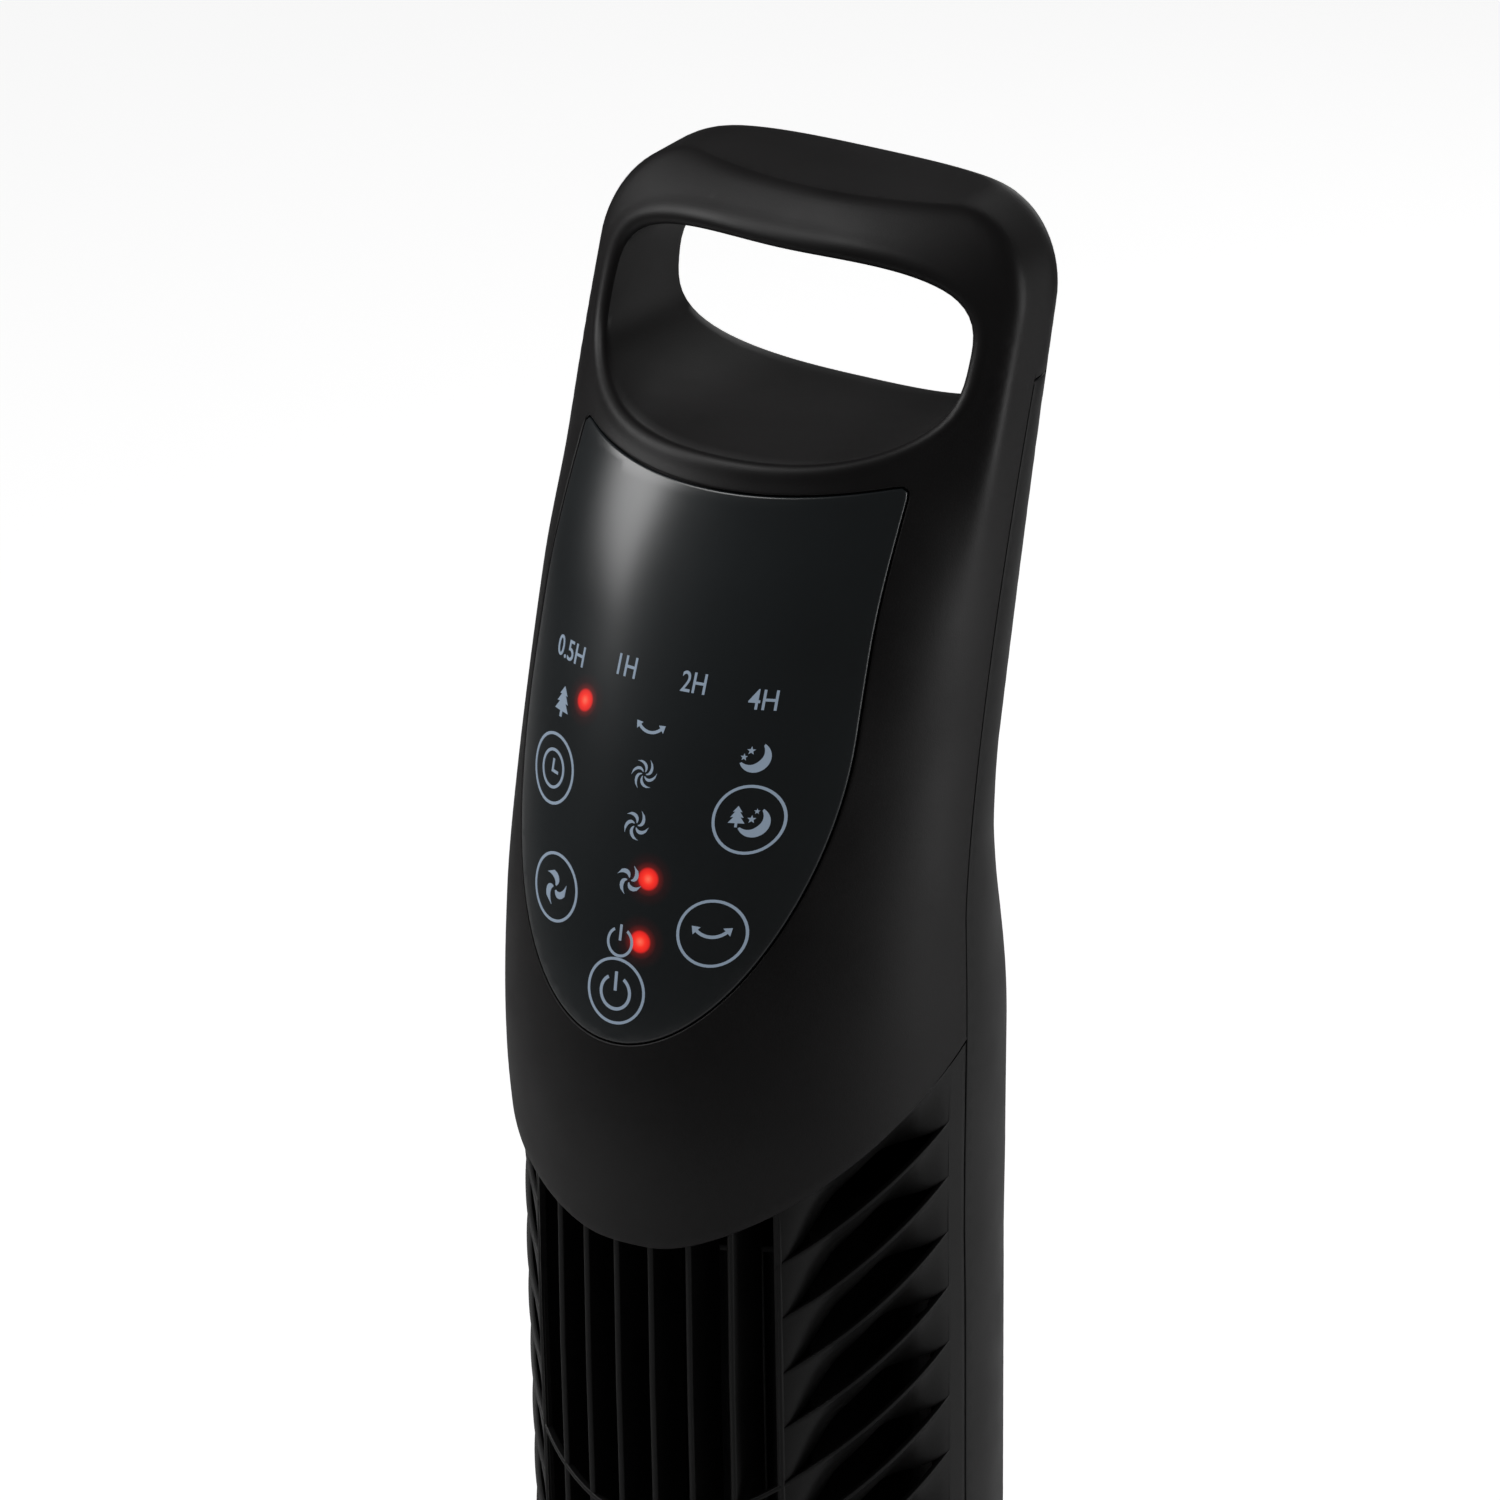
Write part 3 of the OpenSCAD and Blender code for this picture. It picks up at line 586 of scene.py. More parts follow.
FINISHES = {
    "housing_plastic": dict(color=(0.0135, 0.0120, 0.0125), rough=0.45, grain=0.28, grain_size=0.5),
    "grille_plastic": dict(color=(0.0105, 0.0100, 0.0102), rough=0.42, grain=0.22, grain_size=0.5),
    "base_plastic": dict(color=(0.0125, 0.0122, 0.0125), rough=0.33, grain=0.15, grain_size=0.6),
    "lens_gloss": dict(color=(0.0130, 0.0190, 0.0225), rough=0.26, rough_spread=0.01, coat=1.0,
                       coat_rough=0.28, specular=0.9, extra=led_glow),
    "ballast_iron": dict(color=(0.16, 0.16, 0.165), rough=0.6, metal=0.8, grain=0.6, grain_size=1.5),
    "rubber": dict(color=(0.016, 0.016, 0.017), rough=0.8, grain=0.5, grain_size=0.7, specular=0.3),
    "screw_steel": dict(color=(0.55, 0.55, 0.57), rough=0.3, metal=1.0, grain=0.1),
    "dark_screw_steel": dict(color=(0.09, 0.09, 0.095), rough=0.35, metal=1.0, grain=0.15),
    "bearing_plastic": dict(color=(0.035, 0.035, 0.036), rough=0.4, grain=0.1),
    "motor_steel": dict(color=(0.50, 0.50, 0.52), rough=0.34, metal=1.0, grain=0.2, grain_size=0.8),
    "shaft_steel": dict(color=(0.60, 0.60, 0.62), rough=0.2, metal=1.0, grain=0.08),
    "laminations": dict(color=(0.30, 0.31, 0.34), rough=0.45, metal=0.9,
                        extra=striped(900, (0.16, 0.16, 0.18), (0.34, 0.35, 0.38))),
    "copper_wire": dict(color=(0.60, 0.26, 0.10), rough=0.3, metal=1.0,
                        extra=striped(700, (0.32, 0.11, 0.04), (0.72, 0.33, 0.14))),
    "circuit_board": dict(color=(0.015, 0.12, 0.04), rough=0.4, mottle=0.3, grain=0.1, coat=0.3),
    "capacitor_case": dict(color=(0.66, 0.65, 0.58), rough=0.4, grain=0.1),
    "impeller_plastic": dict(color=(0.018, 0.018, 0.020), rough=0.5, grain=0.2),
    "bronze": dict(color=(0.52, 0.33, 0.14), rough=0.4, metal=1.0, grain=0.3),
    "spring_wire": dict(color=(0.62, 0.62, 0.64), rough=0.25, metal=1.0, grain=0.05),
    "led_red": dict(color=(0.55, 0.02, 0.015), rough=0.2, mottle=0.2, coat=0.4),
    "black_component": dict(color=(0.02, 0.02, 0.022), rough=0.4, grain=0.15),
}
MATERIALS = {name: shader(name, **finish) for name, finish in FINISHES.items()}


def painted_glow(color, strength):
    """Adds an even painted glow to a printed mark: emission that makes the print look lit, with no lamp
    behind it.
    """
    def add(nodes, links, place, out):
        put(out, Emission_Color=(*color, 1), Emission_Strength=strength)
    return add


# Print ink in its own blue-grey colour, with a painted glow added by emission to brighten the marks
PRINT_INK_PAINTED_GLOW = shader("lens_print_ink", (0.30, 0.37, 0.46), 0.5, mottle=0.06,
                   extra=painted_glow((0.52, 0.66, 0.84), 0.27))
REAR_FINISH = shader("rear_shell_satin", (0.0175, 0.0172, 0.0175), 0.40, grain=0.18, grain_size=0.5)

for node_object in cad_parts.values():
    for slot_place in node_object.material_slots:
        slot_name = slot_place.material.name.split(".")[0]
        slot_place.material = MATERIALS.get(slot_name, MATERIALS["black_component"])

# ---- Front shell with the carry handle ----
GRIP_MID = 304.75
GRIP_FRONT = (67.0, 28.25)
GRIP_BACK = (66.0, 29.0)
GRIP_BACK_MID = 301.5
GRIP_ROUND = 3.2
LIP_H = 0.25
LIP_W = 6.5
BACK_ROUND = 4.0
BACK_ZONE = 6.5
SPLIT_REACH = GRIP_BACK[0] + 9.5
SPLIT_DROP = GRIP_BACK[1] + 9
LIP_RINGS = (LIP_W, 5.6, 4.8, 4.0)
BACK_RINGS = (BACK_ZONE, 5.0)
GRIP_POWERS = (3.0, 2.7)
LENS_RIM = 0.5
LENS_RINGS = (1.6, 0.9)
# Step and ledge that hold the lens, as the distance inwards and the depth
LENS_LEDGE = ((0.0, 1.2), (0.0, 2.2), (3.0, 2.4))
# Heights between which the lens hole lies, and the height that the hand opening stays above
LENS_BAND = (90, 300)
GRIP_FLOOR = 260
COVER_ROUND = 0.8
HEAD_WALL = 2.2
EDGE_TURN = 0.022
FREE_MARGIN = 1.2
TUNNEL_STEPS = 16
TOP_ROWS = 6
TOP_DRAW = 0.98


def rear_split(phi):
    """Lower limit of the handle at the back: level at the sides, dipping round the hand opening."""
    x = head_radius(phi, NOTCH_H - 10) * math.cos(phi)
    if abs(x) >= SPLIT_REACH:
        return NOTCH_H
    dip = GRIP_BACK_MID - SPLIT_DROP * (1 - (abs(x) / SPLIT_REACH) ** 3) ** (1 / 3)
    return min(NOTCH_H, dip)


def lip_raise(distance):
    return LIP_H * ease((LIP_W - distance) / (LIP_W - GRIP_ROUND))


def on_shell(u, v, margin=0.0):
    """Whether a point lies on the front shell, at least the margin above its lower limit."""
    if v > ARC_TOP or u < -1e-6 or u > 2 * SEAM_U:
        return False
    limit = cover_edge if u <= SEAM_U else rear_split
    return v >= limit(u / COLUMN_R) + margin


def shell_edges(patch):
    """The cover's foot, the seams and the handle's lower limit at the back; returns the ring at the top."""
    patch.border([(p * COLUMN_R, cover_edge(p)) for p in spaced(0, PI, EDGE_TURN)], (0, 1), COVER_ROUND)
    side_v = spaced(cover_edge(0) + 1.0, NOTCH_H, 2.4)
    for u, inward in ((0.0, 1), (SEAM_U, -1)):
        patch.border([(u, v) for v in side_v], (inward, 0), SHELL_EDGE)
    patch.border([(p * COLUMN_R, rear_split(p)) for p in spaced(PI, 2 * PI, EDGE_TURN)], (0, 1), SHELL_EDGE)
    for u in (0.0, 2 * SEAM_U):
        patch.line([(u, v, 0.0) for v in spaced(NOTCH_H, ARC_TOP, 2.0)[1:]])
    return patch.line([(p * COLUMN_R, ARC_TOP, 0.0) for p in spaced(0, 2 * PI, 0.03)])


def add_tunnel(mesh, front, back):
    """Inner wall of the hand opening, from the front rim to the back rim."""
    previous = front
    for k in range(1, TUNNEL_STEPS + 1):
        t = k / TUNNEL_STEPS
        row = back
        if k < TUNNEL_STEPS:
            squeeze = 0.5 * t + 0.5 * ease(t)
            row = []
            for f, b in zip(front, back):
                x, z = (f.co[i] + (b.co[i] - f.co[i]) * squeeze for i in (0, 2))
                row.append(mesh.verts.new((x, f.co.y + (b.co.y - f.co.y) * t, z)))
        stitch(mesh, row, previous)
        previous = row


def add_top(mesh, top):
    """Flat top of the handle: rows that draw together towards its middle line."""
    count = len(top)
    aims = [Vector((v.co.x * TOP_DRAW, (v.co.y + top[-i % count].co.y) / 2, v.co.z))
            for i, v in enumerate(top)]
    last = top
    for k in range(1, TOP_ROWS):
        row = [mesh.verts.new(v.co.lerp(aim, k / TOP_ROWS)) for v, aim in zip(top, aims)]
        stitch(mesh, row, last)
        last = row
    mesh.faces.new(last[::-1])


def build_front_shell():
    patch = Patch()
    grip_front = oblong(*GRIP_FRONT, GRIP_MID, GRIP_POWERS[0])
    grip_back = oblong(*GRIP_BACK, GRIP_BACK_MID, GRIP_POWERS[1])
    lens = lens_outline()
    front_ring = rounded_rings(patch, grip_front, GRIP_ROUND, lip_raise, outer=LIP_RINGS)
    back_ring = rounded_rings(patch, grip_back, BACK_ROUND, rear=True, outer=BACK_RINGS)
    lens_ring = rounded_rings(patch, lens, LENS_RIM, outer=LENS_RINGS)
    top_ring = shell_edges(patch)
    lens_hole = footprint(lens)

    def allowed(margin, zones):
        """A test that leaves out what is off the shell, in the lens hole or in a zone of the hand opening."""
        def test(u, v):
            if not on_shell(u, v, margin) or LENS_BAND[0] < v < LENS_BAND[1] and inside((u, v), lens_hole):
                return False
            return v < GRIP_FLOOR or not any(inside((u, v), zone) for zone in zones)
        return test

    free = allowed(FREE_MARGIN, (footprint(grow(grip_front, LIP_W)),
                                 footprint(grow(grip_back, BACK_ZONE), rear=True)))
    patch.fill((FREE_MARGIN, 2 * SEAM_U - FREE_MARGIN), (COVER_LOW, SHOULDER), 2.8, free, 1.5)
    for v in (SHOULDER + CORNER_R * math.radians(a) for a in range(4, 90, 5)):
        patch.points += [(u, v, 0.0) for u in spaced(2.4, 2 * SEAM_U - 2.4, 2.6) if free(u, v)]

    mesh = bmesh.new()
    by_id = patch.build(mesh, allowed(0.0, (footprint(grip_front), footprint(grip_back, rear=True))))
    add_tunnel(mesh, [by_id[i] for i in front_ring], [by_id[i] for i in back_ring])
    last = [by_id[i] for i in lens_ring]
    for shrink, depth in LENS_LEDGE:
        row = [mesh.verts.new(head_point(u / COLUMN_R, v, -depth)) for u, v in footprint(grow(lens, -shrink))]
        stitch(mesh, row, last)
        last = row
    add_top(mesh, [by_id[i] for i in top_ring[:-1]])
    bmesh.ops.remove_doubles(mesh, verts=mesh.verts, dist=0.02)
    settle(mesh)
    return to_object(mesh, "front_shell_skin", "tower", "housing_plastic", ["front_shell"],
                     thickness=HEAD_WALL)


# ---- Rear shell, from the lower shroud to the notch under the handle ----
WINDOW_CLEAR = 0.3
WINDOW_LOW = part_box("rear_grille")[0].z / MM - HEAD_Z - WINDOW_CLEAR
WINDOW_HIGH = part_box("rear_grille")[1].z / MM - HEAD_Z + WINDOW_CLEAR
WINDOW_HALF = math.radians(52)
WINDOW_CORNER = 9.0
WINDOW_ROUND = 1.2
REAR_BARS = 19
REAR_HOOPS = 8
SPLIT_GAP = 0.5
SEAM_GAP = 0.15


def window_outline():
    """Rear intake window as (u, v), with round corners."""
    left, right = (1.5 * SEAM_U + side * WINDOW_HALF * COLUMN_R for side in (-1, 1))
    corners = [(left, WINDOW_LOW), (right, WINDOW_LOW), (right, WINDOW_HIGH), (left, WINDOW_HIGH)]
    return soften(corners, WINDOW_CORNER, 8)


def even(outline, pitch):
    total = sum(math.dist(outline[i - 1], outline[i]) for i in range(len(outline)))
    return resample(outline, round(total / pitch))


def build_rear_shell():
    patch = Patch()
    back_phis = spaced(PI, 2 * PI, EDGE_TURN)
    patch.border([(p * COLUMN_R, rear_split(p) - SPLIT_GAP) for p in back_phis], (0, -1), SHELL_EDGE)
    patch.border([(p * COLUMN_R, DUCT_LOW) for p in back_phis], (0, 1), SHELL_EDGE)
    side_v = spaced(DUCT_LOW + 1, NOTCH_H - SPLIT_GAP - 1, 3.0)
    for edge_u, inward in ((SEAM_U, 1), (2 * SEAM_U, -1)):
        patch.border([(edge_u + inward * SEAM_GAP, v) for v in side_v], (inward, 0), SHELL_EDGE / 2)
    hole = even(window_outline(), 2.2)
    for distance, drop in round_over(WINDOW_ROUND):
        patch.line([(u, v, -drop) for u, v in grow(hole, distance)], closed=True)

    def kept(u, v):
        if u < SEAM_U + SEAM_GAP or u > 2 * SEAM_U - SEAM_GAP:
            return False
        if v < DUCT_LOW or v > rear_split(u / COLUMN_R) - SPLIT_GAP:
            return False
        return v > WINDOW_HIGH or not inside((u, v), hole)

    patch.fill((SEAM_U + 2, 2 * SEAM_U - 2), (DUCT_LOW + 2, NOTCH_H), 4.2, kept, 1.8)
    mesh = bmesh.new()
    patch.build(mesh, kept)
    settle(mesh, front=False)
    shell = to_object(mesh, "rear_shell_skin", "tower", "housing_plastic", ["rear_shell"], thickness=WALL)
    shell.data.materials[0] = REAR_FINISH
    return shell


def build_rear_grille():
    """Upright rounded bars and level hoops that fill the rear window."""
    mesh = bmesh.new()
    low, high = WINDOW_LOW + WINDOW_CLEAR, WINDOW_HIGH - WINDOW_CLEAR
    pitch = 2 * (WINDOW_HALF - 0.02) / REAR_BARS

    def column_point(angle, h, inset):
        r = column_r(h) - inset
        return Vector((r * math.sin(angle), r * math.cos(angle), HEAD_Z + h))

    for i in range(REAR_BARS + 1):
        angle = (i - REAR_BARS / 2) * pitch
        half_w, depth = (2.2 if i in (0, REAR_BARS) else 1.15), 3.4
        shape = soften([(-half_w, depth), (-half_w, 0.5), (half_w, 0.5), (half_w, depth)], 0.8, 3)
        loft(mesh, [[column_point(angle + x / COLUMN_R, h, d) for x, d in shape]
                    for h in spaced(low, high, 90)])
    for k in range(REAR_HOOPS + 1):
        h = low + 2 + k * (high - low - 4) / REAR_HOOPS
        half_h = 2.0 if k in (0, REAR_HOOPS) else 1.6
        shape = soften([(0.9, -half_h), (3.0, -half_h), (3.0, half_h), (0.9, half_h)], 0.6, 3)
        angles = spaced(-WINDOW_HALF + 0.01, WINDOW_HALF - 0.01, 0.05)
        loft(mesh, [[column_point(a, h + z, d) for d, z in shape] for a in angles])
    bmesh.ops.recalc_face_normals(mesh, faces=mesh.faces)
    return to_object(mesh, "rear_intake_grille", "tower", "grille_plastic", ["rear_grille"])


# ---- Front grille: upright bars, gill-shaped side louvres and crossing arcs ----
BAR_PITCH = 12.6
BAR_T = 2.2
BAR_DEPTH = 17.0
BARS = 8
BAR_MID = (BARS - 1) / 2
MOUTH_ANGLE = math.asin(BAR_MID * BAR_PITCH / COLUMN_R)
RIB_PITCH = 18.7
LOUVRES = int((COVER_LOW + COVER_SWEEP - DUCT_LOW) / RIB_PITCH) + 1
LOUVRE_STEPS = 26
CROSS_EVERY = 5
RAIL_ANGLE = math.radians(84)
GILL_DEPTH = 11.5
GRILLE_INSET = 0.9
STRIP_STEPS = 24
# Section of the strip between the louvres and the seam, as the angle and the depth
STRIP = ((RAIL_ANGLE - 0.012, 2.4), (RAIL_ANGLE - 0.012, 0.02), (math.radians(86), 0.02),
         (math.radians(88), 0.02), (math.radians(89.5), 0.05), (math.radians(89.85), 0.35),
         (math.radians(89.85), 2.4))


def grille_point(angle, h, inset):
    """Point on the grille's round surface; the angle runs from the front towards the sides."""
    flush = ease((abs(angle) - 0.9) / 0.56)
    r = column_r(h) - GRILLE_INSET * (1 - flush) + (half_width(h) - column_r(h)) * flush - inset
    return Vector((r * math.sin(angle), -r * math.cos(angle), HEAD_Z + h))


def louvre_h(angle, k):
    return cover_edge(PI / 2 - angle) - k * RIB_PITCH


def gill_section(t, angle, k):
    """Section of one louvre: a narrow land at its upper edge, then a face that dives inwards to the slot."""
    dive = GILL_DEPTH * ease(t / 0.40) * ease((1 - t) / 0.36)
    share = dive / GILL_DEPTH
    edge = louvre_h(angle, k)
    reach = RIB_PITCH + 0.6 - 4.6 * share
    thick = 2.0
    lip = 0.55 * share
    outer = [(0.35, 0.0), (0.06, -0.25), (0.0, -0.7), (0.0, -1.5), (lip, -2.1)]
    for i in range(1, 9):
        s = i / 8
        outer.append((lip + (dive - lip) * s ** 1.15, -2.1 - (reach - 2.1) * s))
    inner = [(dive + thick, -reach + 0.3)]
    for i in range(7, -1, -1):
        s = i / 8
        inner.append((thick + dive * s ** 1.15, -1.6 - (reach - 3.4) * s))
    inner.append((thick - 0.4, 0.0))
    return [grille_point(angle, edge + z, inset) for inset, z in outer + inner]


def clip_low(mesh, level):
    """Cuts away what hangs below a level and closes the cut."""
    cut = bmesh.ops.bisect_plane(mesh, geom=mesh.verts[:] + mesh.edges[:] + mesh.faces[:],
                                 plane_co=(0, 0, level), plane_no=(0, 0, -1), clear_outer=True)
    edges = [e for e in cut["geom_cut"] if isinstance(e, bmesh.types.BMEdge)]
    if edges:
        bmesh.ops.holes_fill(mesh, edges=edges, sides=0)


def mirrored(points, side):
    return [Vector((side * p.x, p.y, p.z)) for p in points]


def add_louvres(mesh, side):
    for k in range(LOUVRES):
        rows = []
        for i in range(LOUVRE_STEPS + 1):
            t = i / LOUVRE_STEPS
            angle = MOUTH_ANGLE + (RAIL_ANGLE - MOUTH_ANGLE) * t
            rows.append(mirrored(gill_section(t, angle, k), side))
        if max(p.z for row in rows for p in row) > DUCT_Z + 6:
            loft(mesh, rows)


def add_strip(mesh, side):
    """Plain strip between the louvres' tips and the seam, up to the cover's edge."""
    strip = []
    for angle, depth in STRIP:
        rise_h = louvre_h(angle, 0) - 0.25 - DUCT_LOW
        column = [grille_point(angle, DUCT_LOW + rise_h * i / STRIP_STEPS, depth)
                  for i in range(STRIP_STEPS + 1)]
        strip.append([mesh.verts.new(p) for p in mirrored(column, side)])
    for i in range(len(strip)):
        stitch(mesh, strip[i - 1], strip[i], closed=False)
    mesh.faces.new([row[0] for row in strip])
    mesh.faces.new([row[-1] for row in strip][::-1])


def add_bars(mesh):
    """Upright bars, deep and rounded at the front, drawing together slightly towards the foot."""
    for i in range(BARS):
        place = (i - BAR_MID) * BAR_PITCH
        half = (BAR_T + (0.4 if i in (0, BARS - 1) else 0.0)) / 2
        top = louvre_h(abs(math.asin(place / COLUMN_R)), 0) + 8
        corners = [(-half, BAR_DEPTH), (-half, 0.0), (half, 0.0), (half, BAR_DEPTH)]
        shape = soften(corners, 0.9, 4)
        rows = []
        for h in spaced(DUCT_LOW, top, 60):
            r = column_r(h) - GRILLE_INSET - (0.5 if h > COVER_LOW - 12 else 0.0)
            x = place * column_r(h) / COLUMN_R
            rows.append([Vector((x + dx, -math.sqrt(r * r - x * x) + dy, HEAD_Z + h)) for dx, dy in shape])
        loft(mesh, rows)


def add_crossings(mesh):
    """Thin arcs that run on across the bars, every few louvres."""
    shape = soften([(2.2, -1.9), (-0.25, -1.7), (-0.25, 0.0), (2.2, 0.0)], 0.5, 3)
    for k in range(CROSS_EVERY, LOUVRES, CROSS_EVERY):
        rows = []
        for angle in spaced(-MOUTH_ANGLE - 0.05, MOUTH_ANGLE + 0.05, 0.03):
            edge = louvre_h(abs(angle), k)
            rows.append([grille_point(angle, edge + z, inset) for inset, z in shape])
        if min(p.z for row in rows for p in row) > DUCT_Z + 4:
            loft(mesh, rows)


def build_front_grille():
    mesh = bmesh.new()
    for side in (1, -1):
        add_louvres(mesh, side)
        add_strip(mesh, side)
    add_bars(mesh)
    add_crossings(mesh)
    clip_low(mesh, DUCT_Z + 0.6)
    sill = soften([(0.0, 0.6), (0.0, 6.0), (BAR_DEPTH, 6.0), (BAR_DEPTH, 0.6)], 0.8, 3)
    loft(mesh, [[grille_point(angle, DUCT_LOW + z, inset - 0.3) for inset, z in sill]
                for angle in spaced(math.radians(-89.5), math.radians(89.5), 0.05)])
    bmesh.ops.recalc_face_normals(mesh, faces=mesh.faces)
    return to_object(mesh, "front_air_grille", "tower", "grille_plastic", ["front_grille"], sharp=40)


# ---- Control lens and its printed marks ----
LENS_GAP = 0.35
LENS_ROUND = 0.9
LENS_SINK = 0.05


def build_lens():
    patch = Patch()
    outline = grow(lens_outline(), -LENS_GAP)
    # From the innermost and highest ring out to the edge
    for distance, drop in round_over(LENS_ROUND):
        patch.line(project(grow(outline, -distance), -drop - LENS_SINK), closed=True)
    edge, core = footprint(outline), footprint(grow(outline, -LENS_ROUND))
    u_values = [u for u, _ in edge]
    first_loose = len(patch.points)
    patch.fill((min(u_values), max(u_values)), (LENS_LOW, LENS_TOP + 6), 3.0,
               lambda u, v: inside((u, v), core), 1.3)
    patch.points[first_loose:] = [(u, v, -LENS_SINK) for u, v, _ in patch.points[first_loose:]]
    mesh = bmesh.new()
    patch.build(mesh, lambda u, v: inside((u, v), edge))
    settle(mesh)
    return to_object(mesh, "control_lens_gloss", "tower", "lens_gloss", ["control_lens"], thickness=1.8)


def polar(cx, cy, r, angle):
    return (cx + r * math.cos(angle), cy + r * math.sin(angle))


def arc_band(cx, cy, radius, line, start=0.0, end=360.0, steps=48):
    """Ring or arc as short quads."""
    quads = []
    for i in range(steps):
        a, b = (math.radians(start + (end - start) * j / steps) for j in (i, i + 1))
        inner, outer = radius - line / 2, radius + line / 2
        quads.append([polar(cx, cy, r, t) for r, t in ((inner, a), (outer, a), (outer, b), (inner, b))])
    return quads


def stroke(x0, y0, x1, y1, line):
    dx, dy = x1 - x0, y1 - y0
    size = math.hypot(dx, dy)
    nx, ny = -dy / size * line / 2, dx / size * line / 2
    return [[(x0 + nx, y0 + ny), (x0 - nx, y0 - ny), (x1 - nx, y1 - ny), (x1 + nx, y1 + ny)]]


def fan_mark(cx, cy, radius, blades, turn=0.0):
    """Pinwheel of curved blades."""
    shapes = []
    steps = 7
    for b in range(blades):
        base = 360 * b / blades + turn
        width = 0.46 * 360 / blades
        lead, trail = [], []
        for i in range(steps + 1):
            s = i / steps
            r = radius * (0.16 + 0.84 * s)
            swing = 62 * s ** 1.3
            spread = width * (0.55 + 0.45 * math.sin(PI * min(1.0, s * 0.9)))
            lead.append((r, base + swing + spread / 2))
            trail.append((r * (1 - 0.10 * s), base + swing - spread / 2))
        points = [polar(cx, cy, r, math.radians(a)) for r, a in lead + trail[::-1]]
        for i in range(steps):
            shapes.append([points[i], points[i + 1], points[-2 - i], points[-1 - i]])
    return shapes


def tree_mark(cx, cy, size):
    tiers = ((4.6, 0.0), (1.9, 2.0), (2.1, 1.0), (-0.5, 2.8), (-0.3, 1.5), (-3.0, 3.5), (-3.0, 0.55),
             (-4.8, 0.55))
    half = [(cx + x * size, cy + y * size) for y, x in tiers]
    return [half[:0:-1] + [half[0]] + [(2 * cx - x, y) for x, y in half[1:]]]


def star_mark(cx, cy, radius):
    """Five-pointed star with one point up."""
    return [[polar(cx, cy, radius * (1 if i % 2 == 0 else 0.42), math.radians(90 + 36 * i))
             for i in range(10)]]


def moon_mark(cx, cy, radius):
    """Crescent lying open to the upper left."""
    steps = 22
    quads = []
    for i in range(steps):
        pair = []
        for j in (i, i + 1):
            s = j / steps
            a = math.radians(-165 + 235 * s)
            thick = radius * 0.62 * math.sin(PI * s) ** 0.8
            pair.append((polar(cx, cy, radius, a), polar(cx, cy, radius - thick, a)))
        quads.append([pair[0][1], pair[0][0], pair[1][0], pair[1][1]])
    return quads[1:-1]


def swing_mark(cx, cy, size, line):
    """Arc with an arrow head at each end, for the swing."""
    shapes = arc_band(cx, cy + 5.2 * size, 6.2 * size, line, 228, 312, 16)
    for s in (-1, 1):
        a = math.radians(270 + s * 42)
        x, y = polar(cx, cy + 5.2 * size, 6.2 * size, a)
        dx, dy = -s * math.sin(a), s * math.cos(a)
        shapes.append([(x + dx * 2.0 * size, y + dy * 2.0 * size), (x - dy * 1.5 * size, y + dx * 1.5 * size),
                       (x + dy * 1.5 * size, y - dx * 1.5 * size)])
    return shapes


def power_mark(cx, cy, radius, line):
    shapes = arc_band(cx, cy, radius, line, 122, 418, 36)
    return shapes + stroke(cx, cy + radius * 1.25, cx, cy + radius * 0.1, line)


def text_mark(text, cx, cy, cap_height):
    """Plain figures, from Blender's own font, as flat shapes."""
    curve = bpy.data.curves.new("figures", "FONT")
    curve.body = text
    curve.align_x = "CENTER"
    curve.align_y = "CENTER"
    curve.resolution_u = 4
    curve.offset = 0.004
    helper = add_object("figures", curve)
    bpy.context.view_layer.update()
    flat = bpy.data.meshes.new_from_object(helper.evaluated_get(bpy.context.evaluated_depsgraph_get()))
    tall = max(v.co.y for v in flat.vertices) - min(v.co.y for v in flat.vertices)
    scale = cap_height / tall
    points = [(cx + v.co.x * scale * 0.86, cy + v.co.y * scale) for v in flat.vertices]
    shapes = [[points[i] for i in p.vertices] for p in flat.polygons]
    bpy.data.objects.remove(helper)
    bpy.data.curves.remove(curve)
    bpy.data.meshes.remove(flat)
    return shapes


RING_R = 10.0
RING_LINE = 0.85
TIMER_MARKS = (("0.5H", -37.6, 211.2), ("1H", -13.3, 213.5), ("2H", 11.9, 213.3), ("4H", 34.4, 210.8))


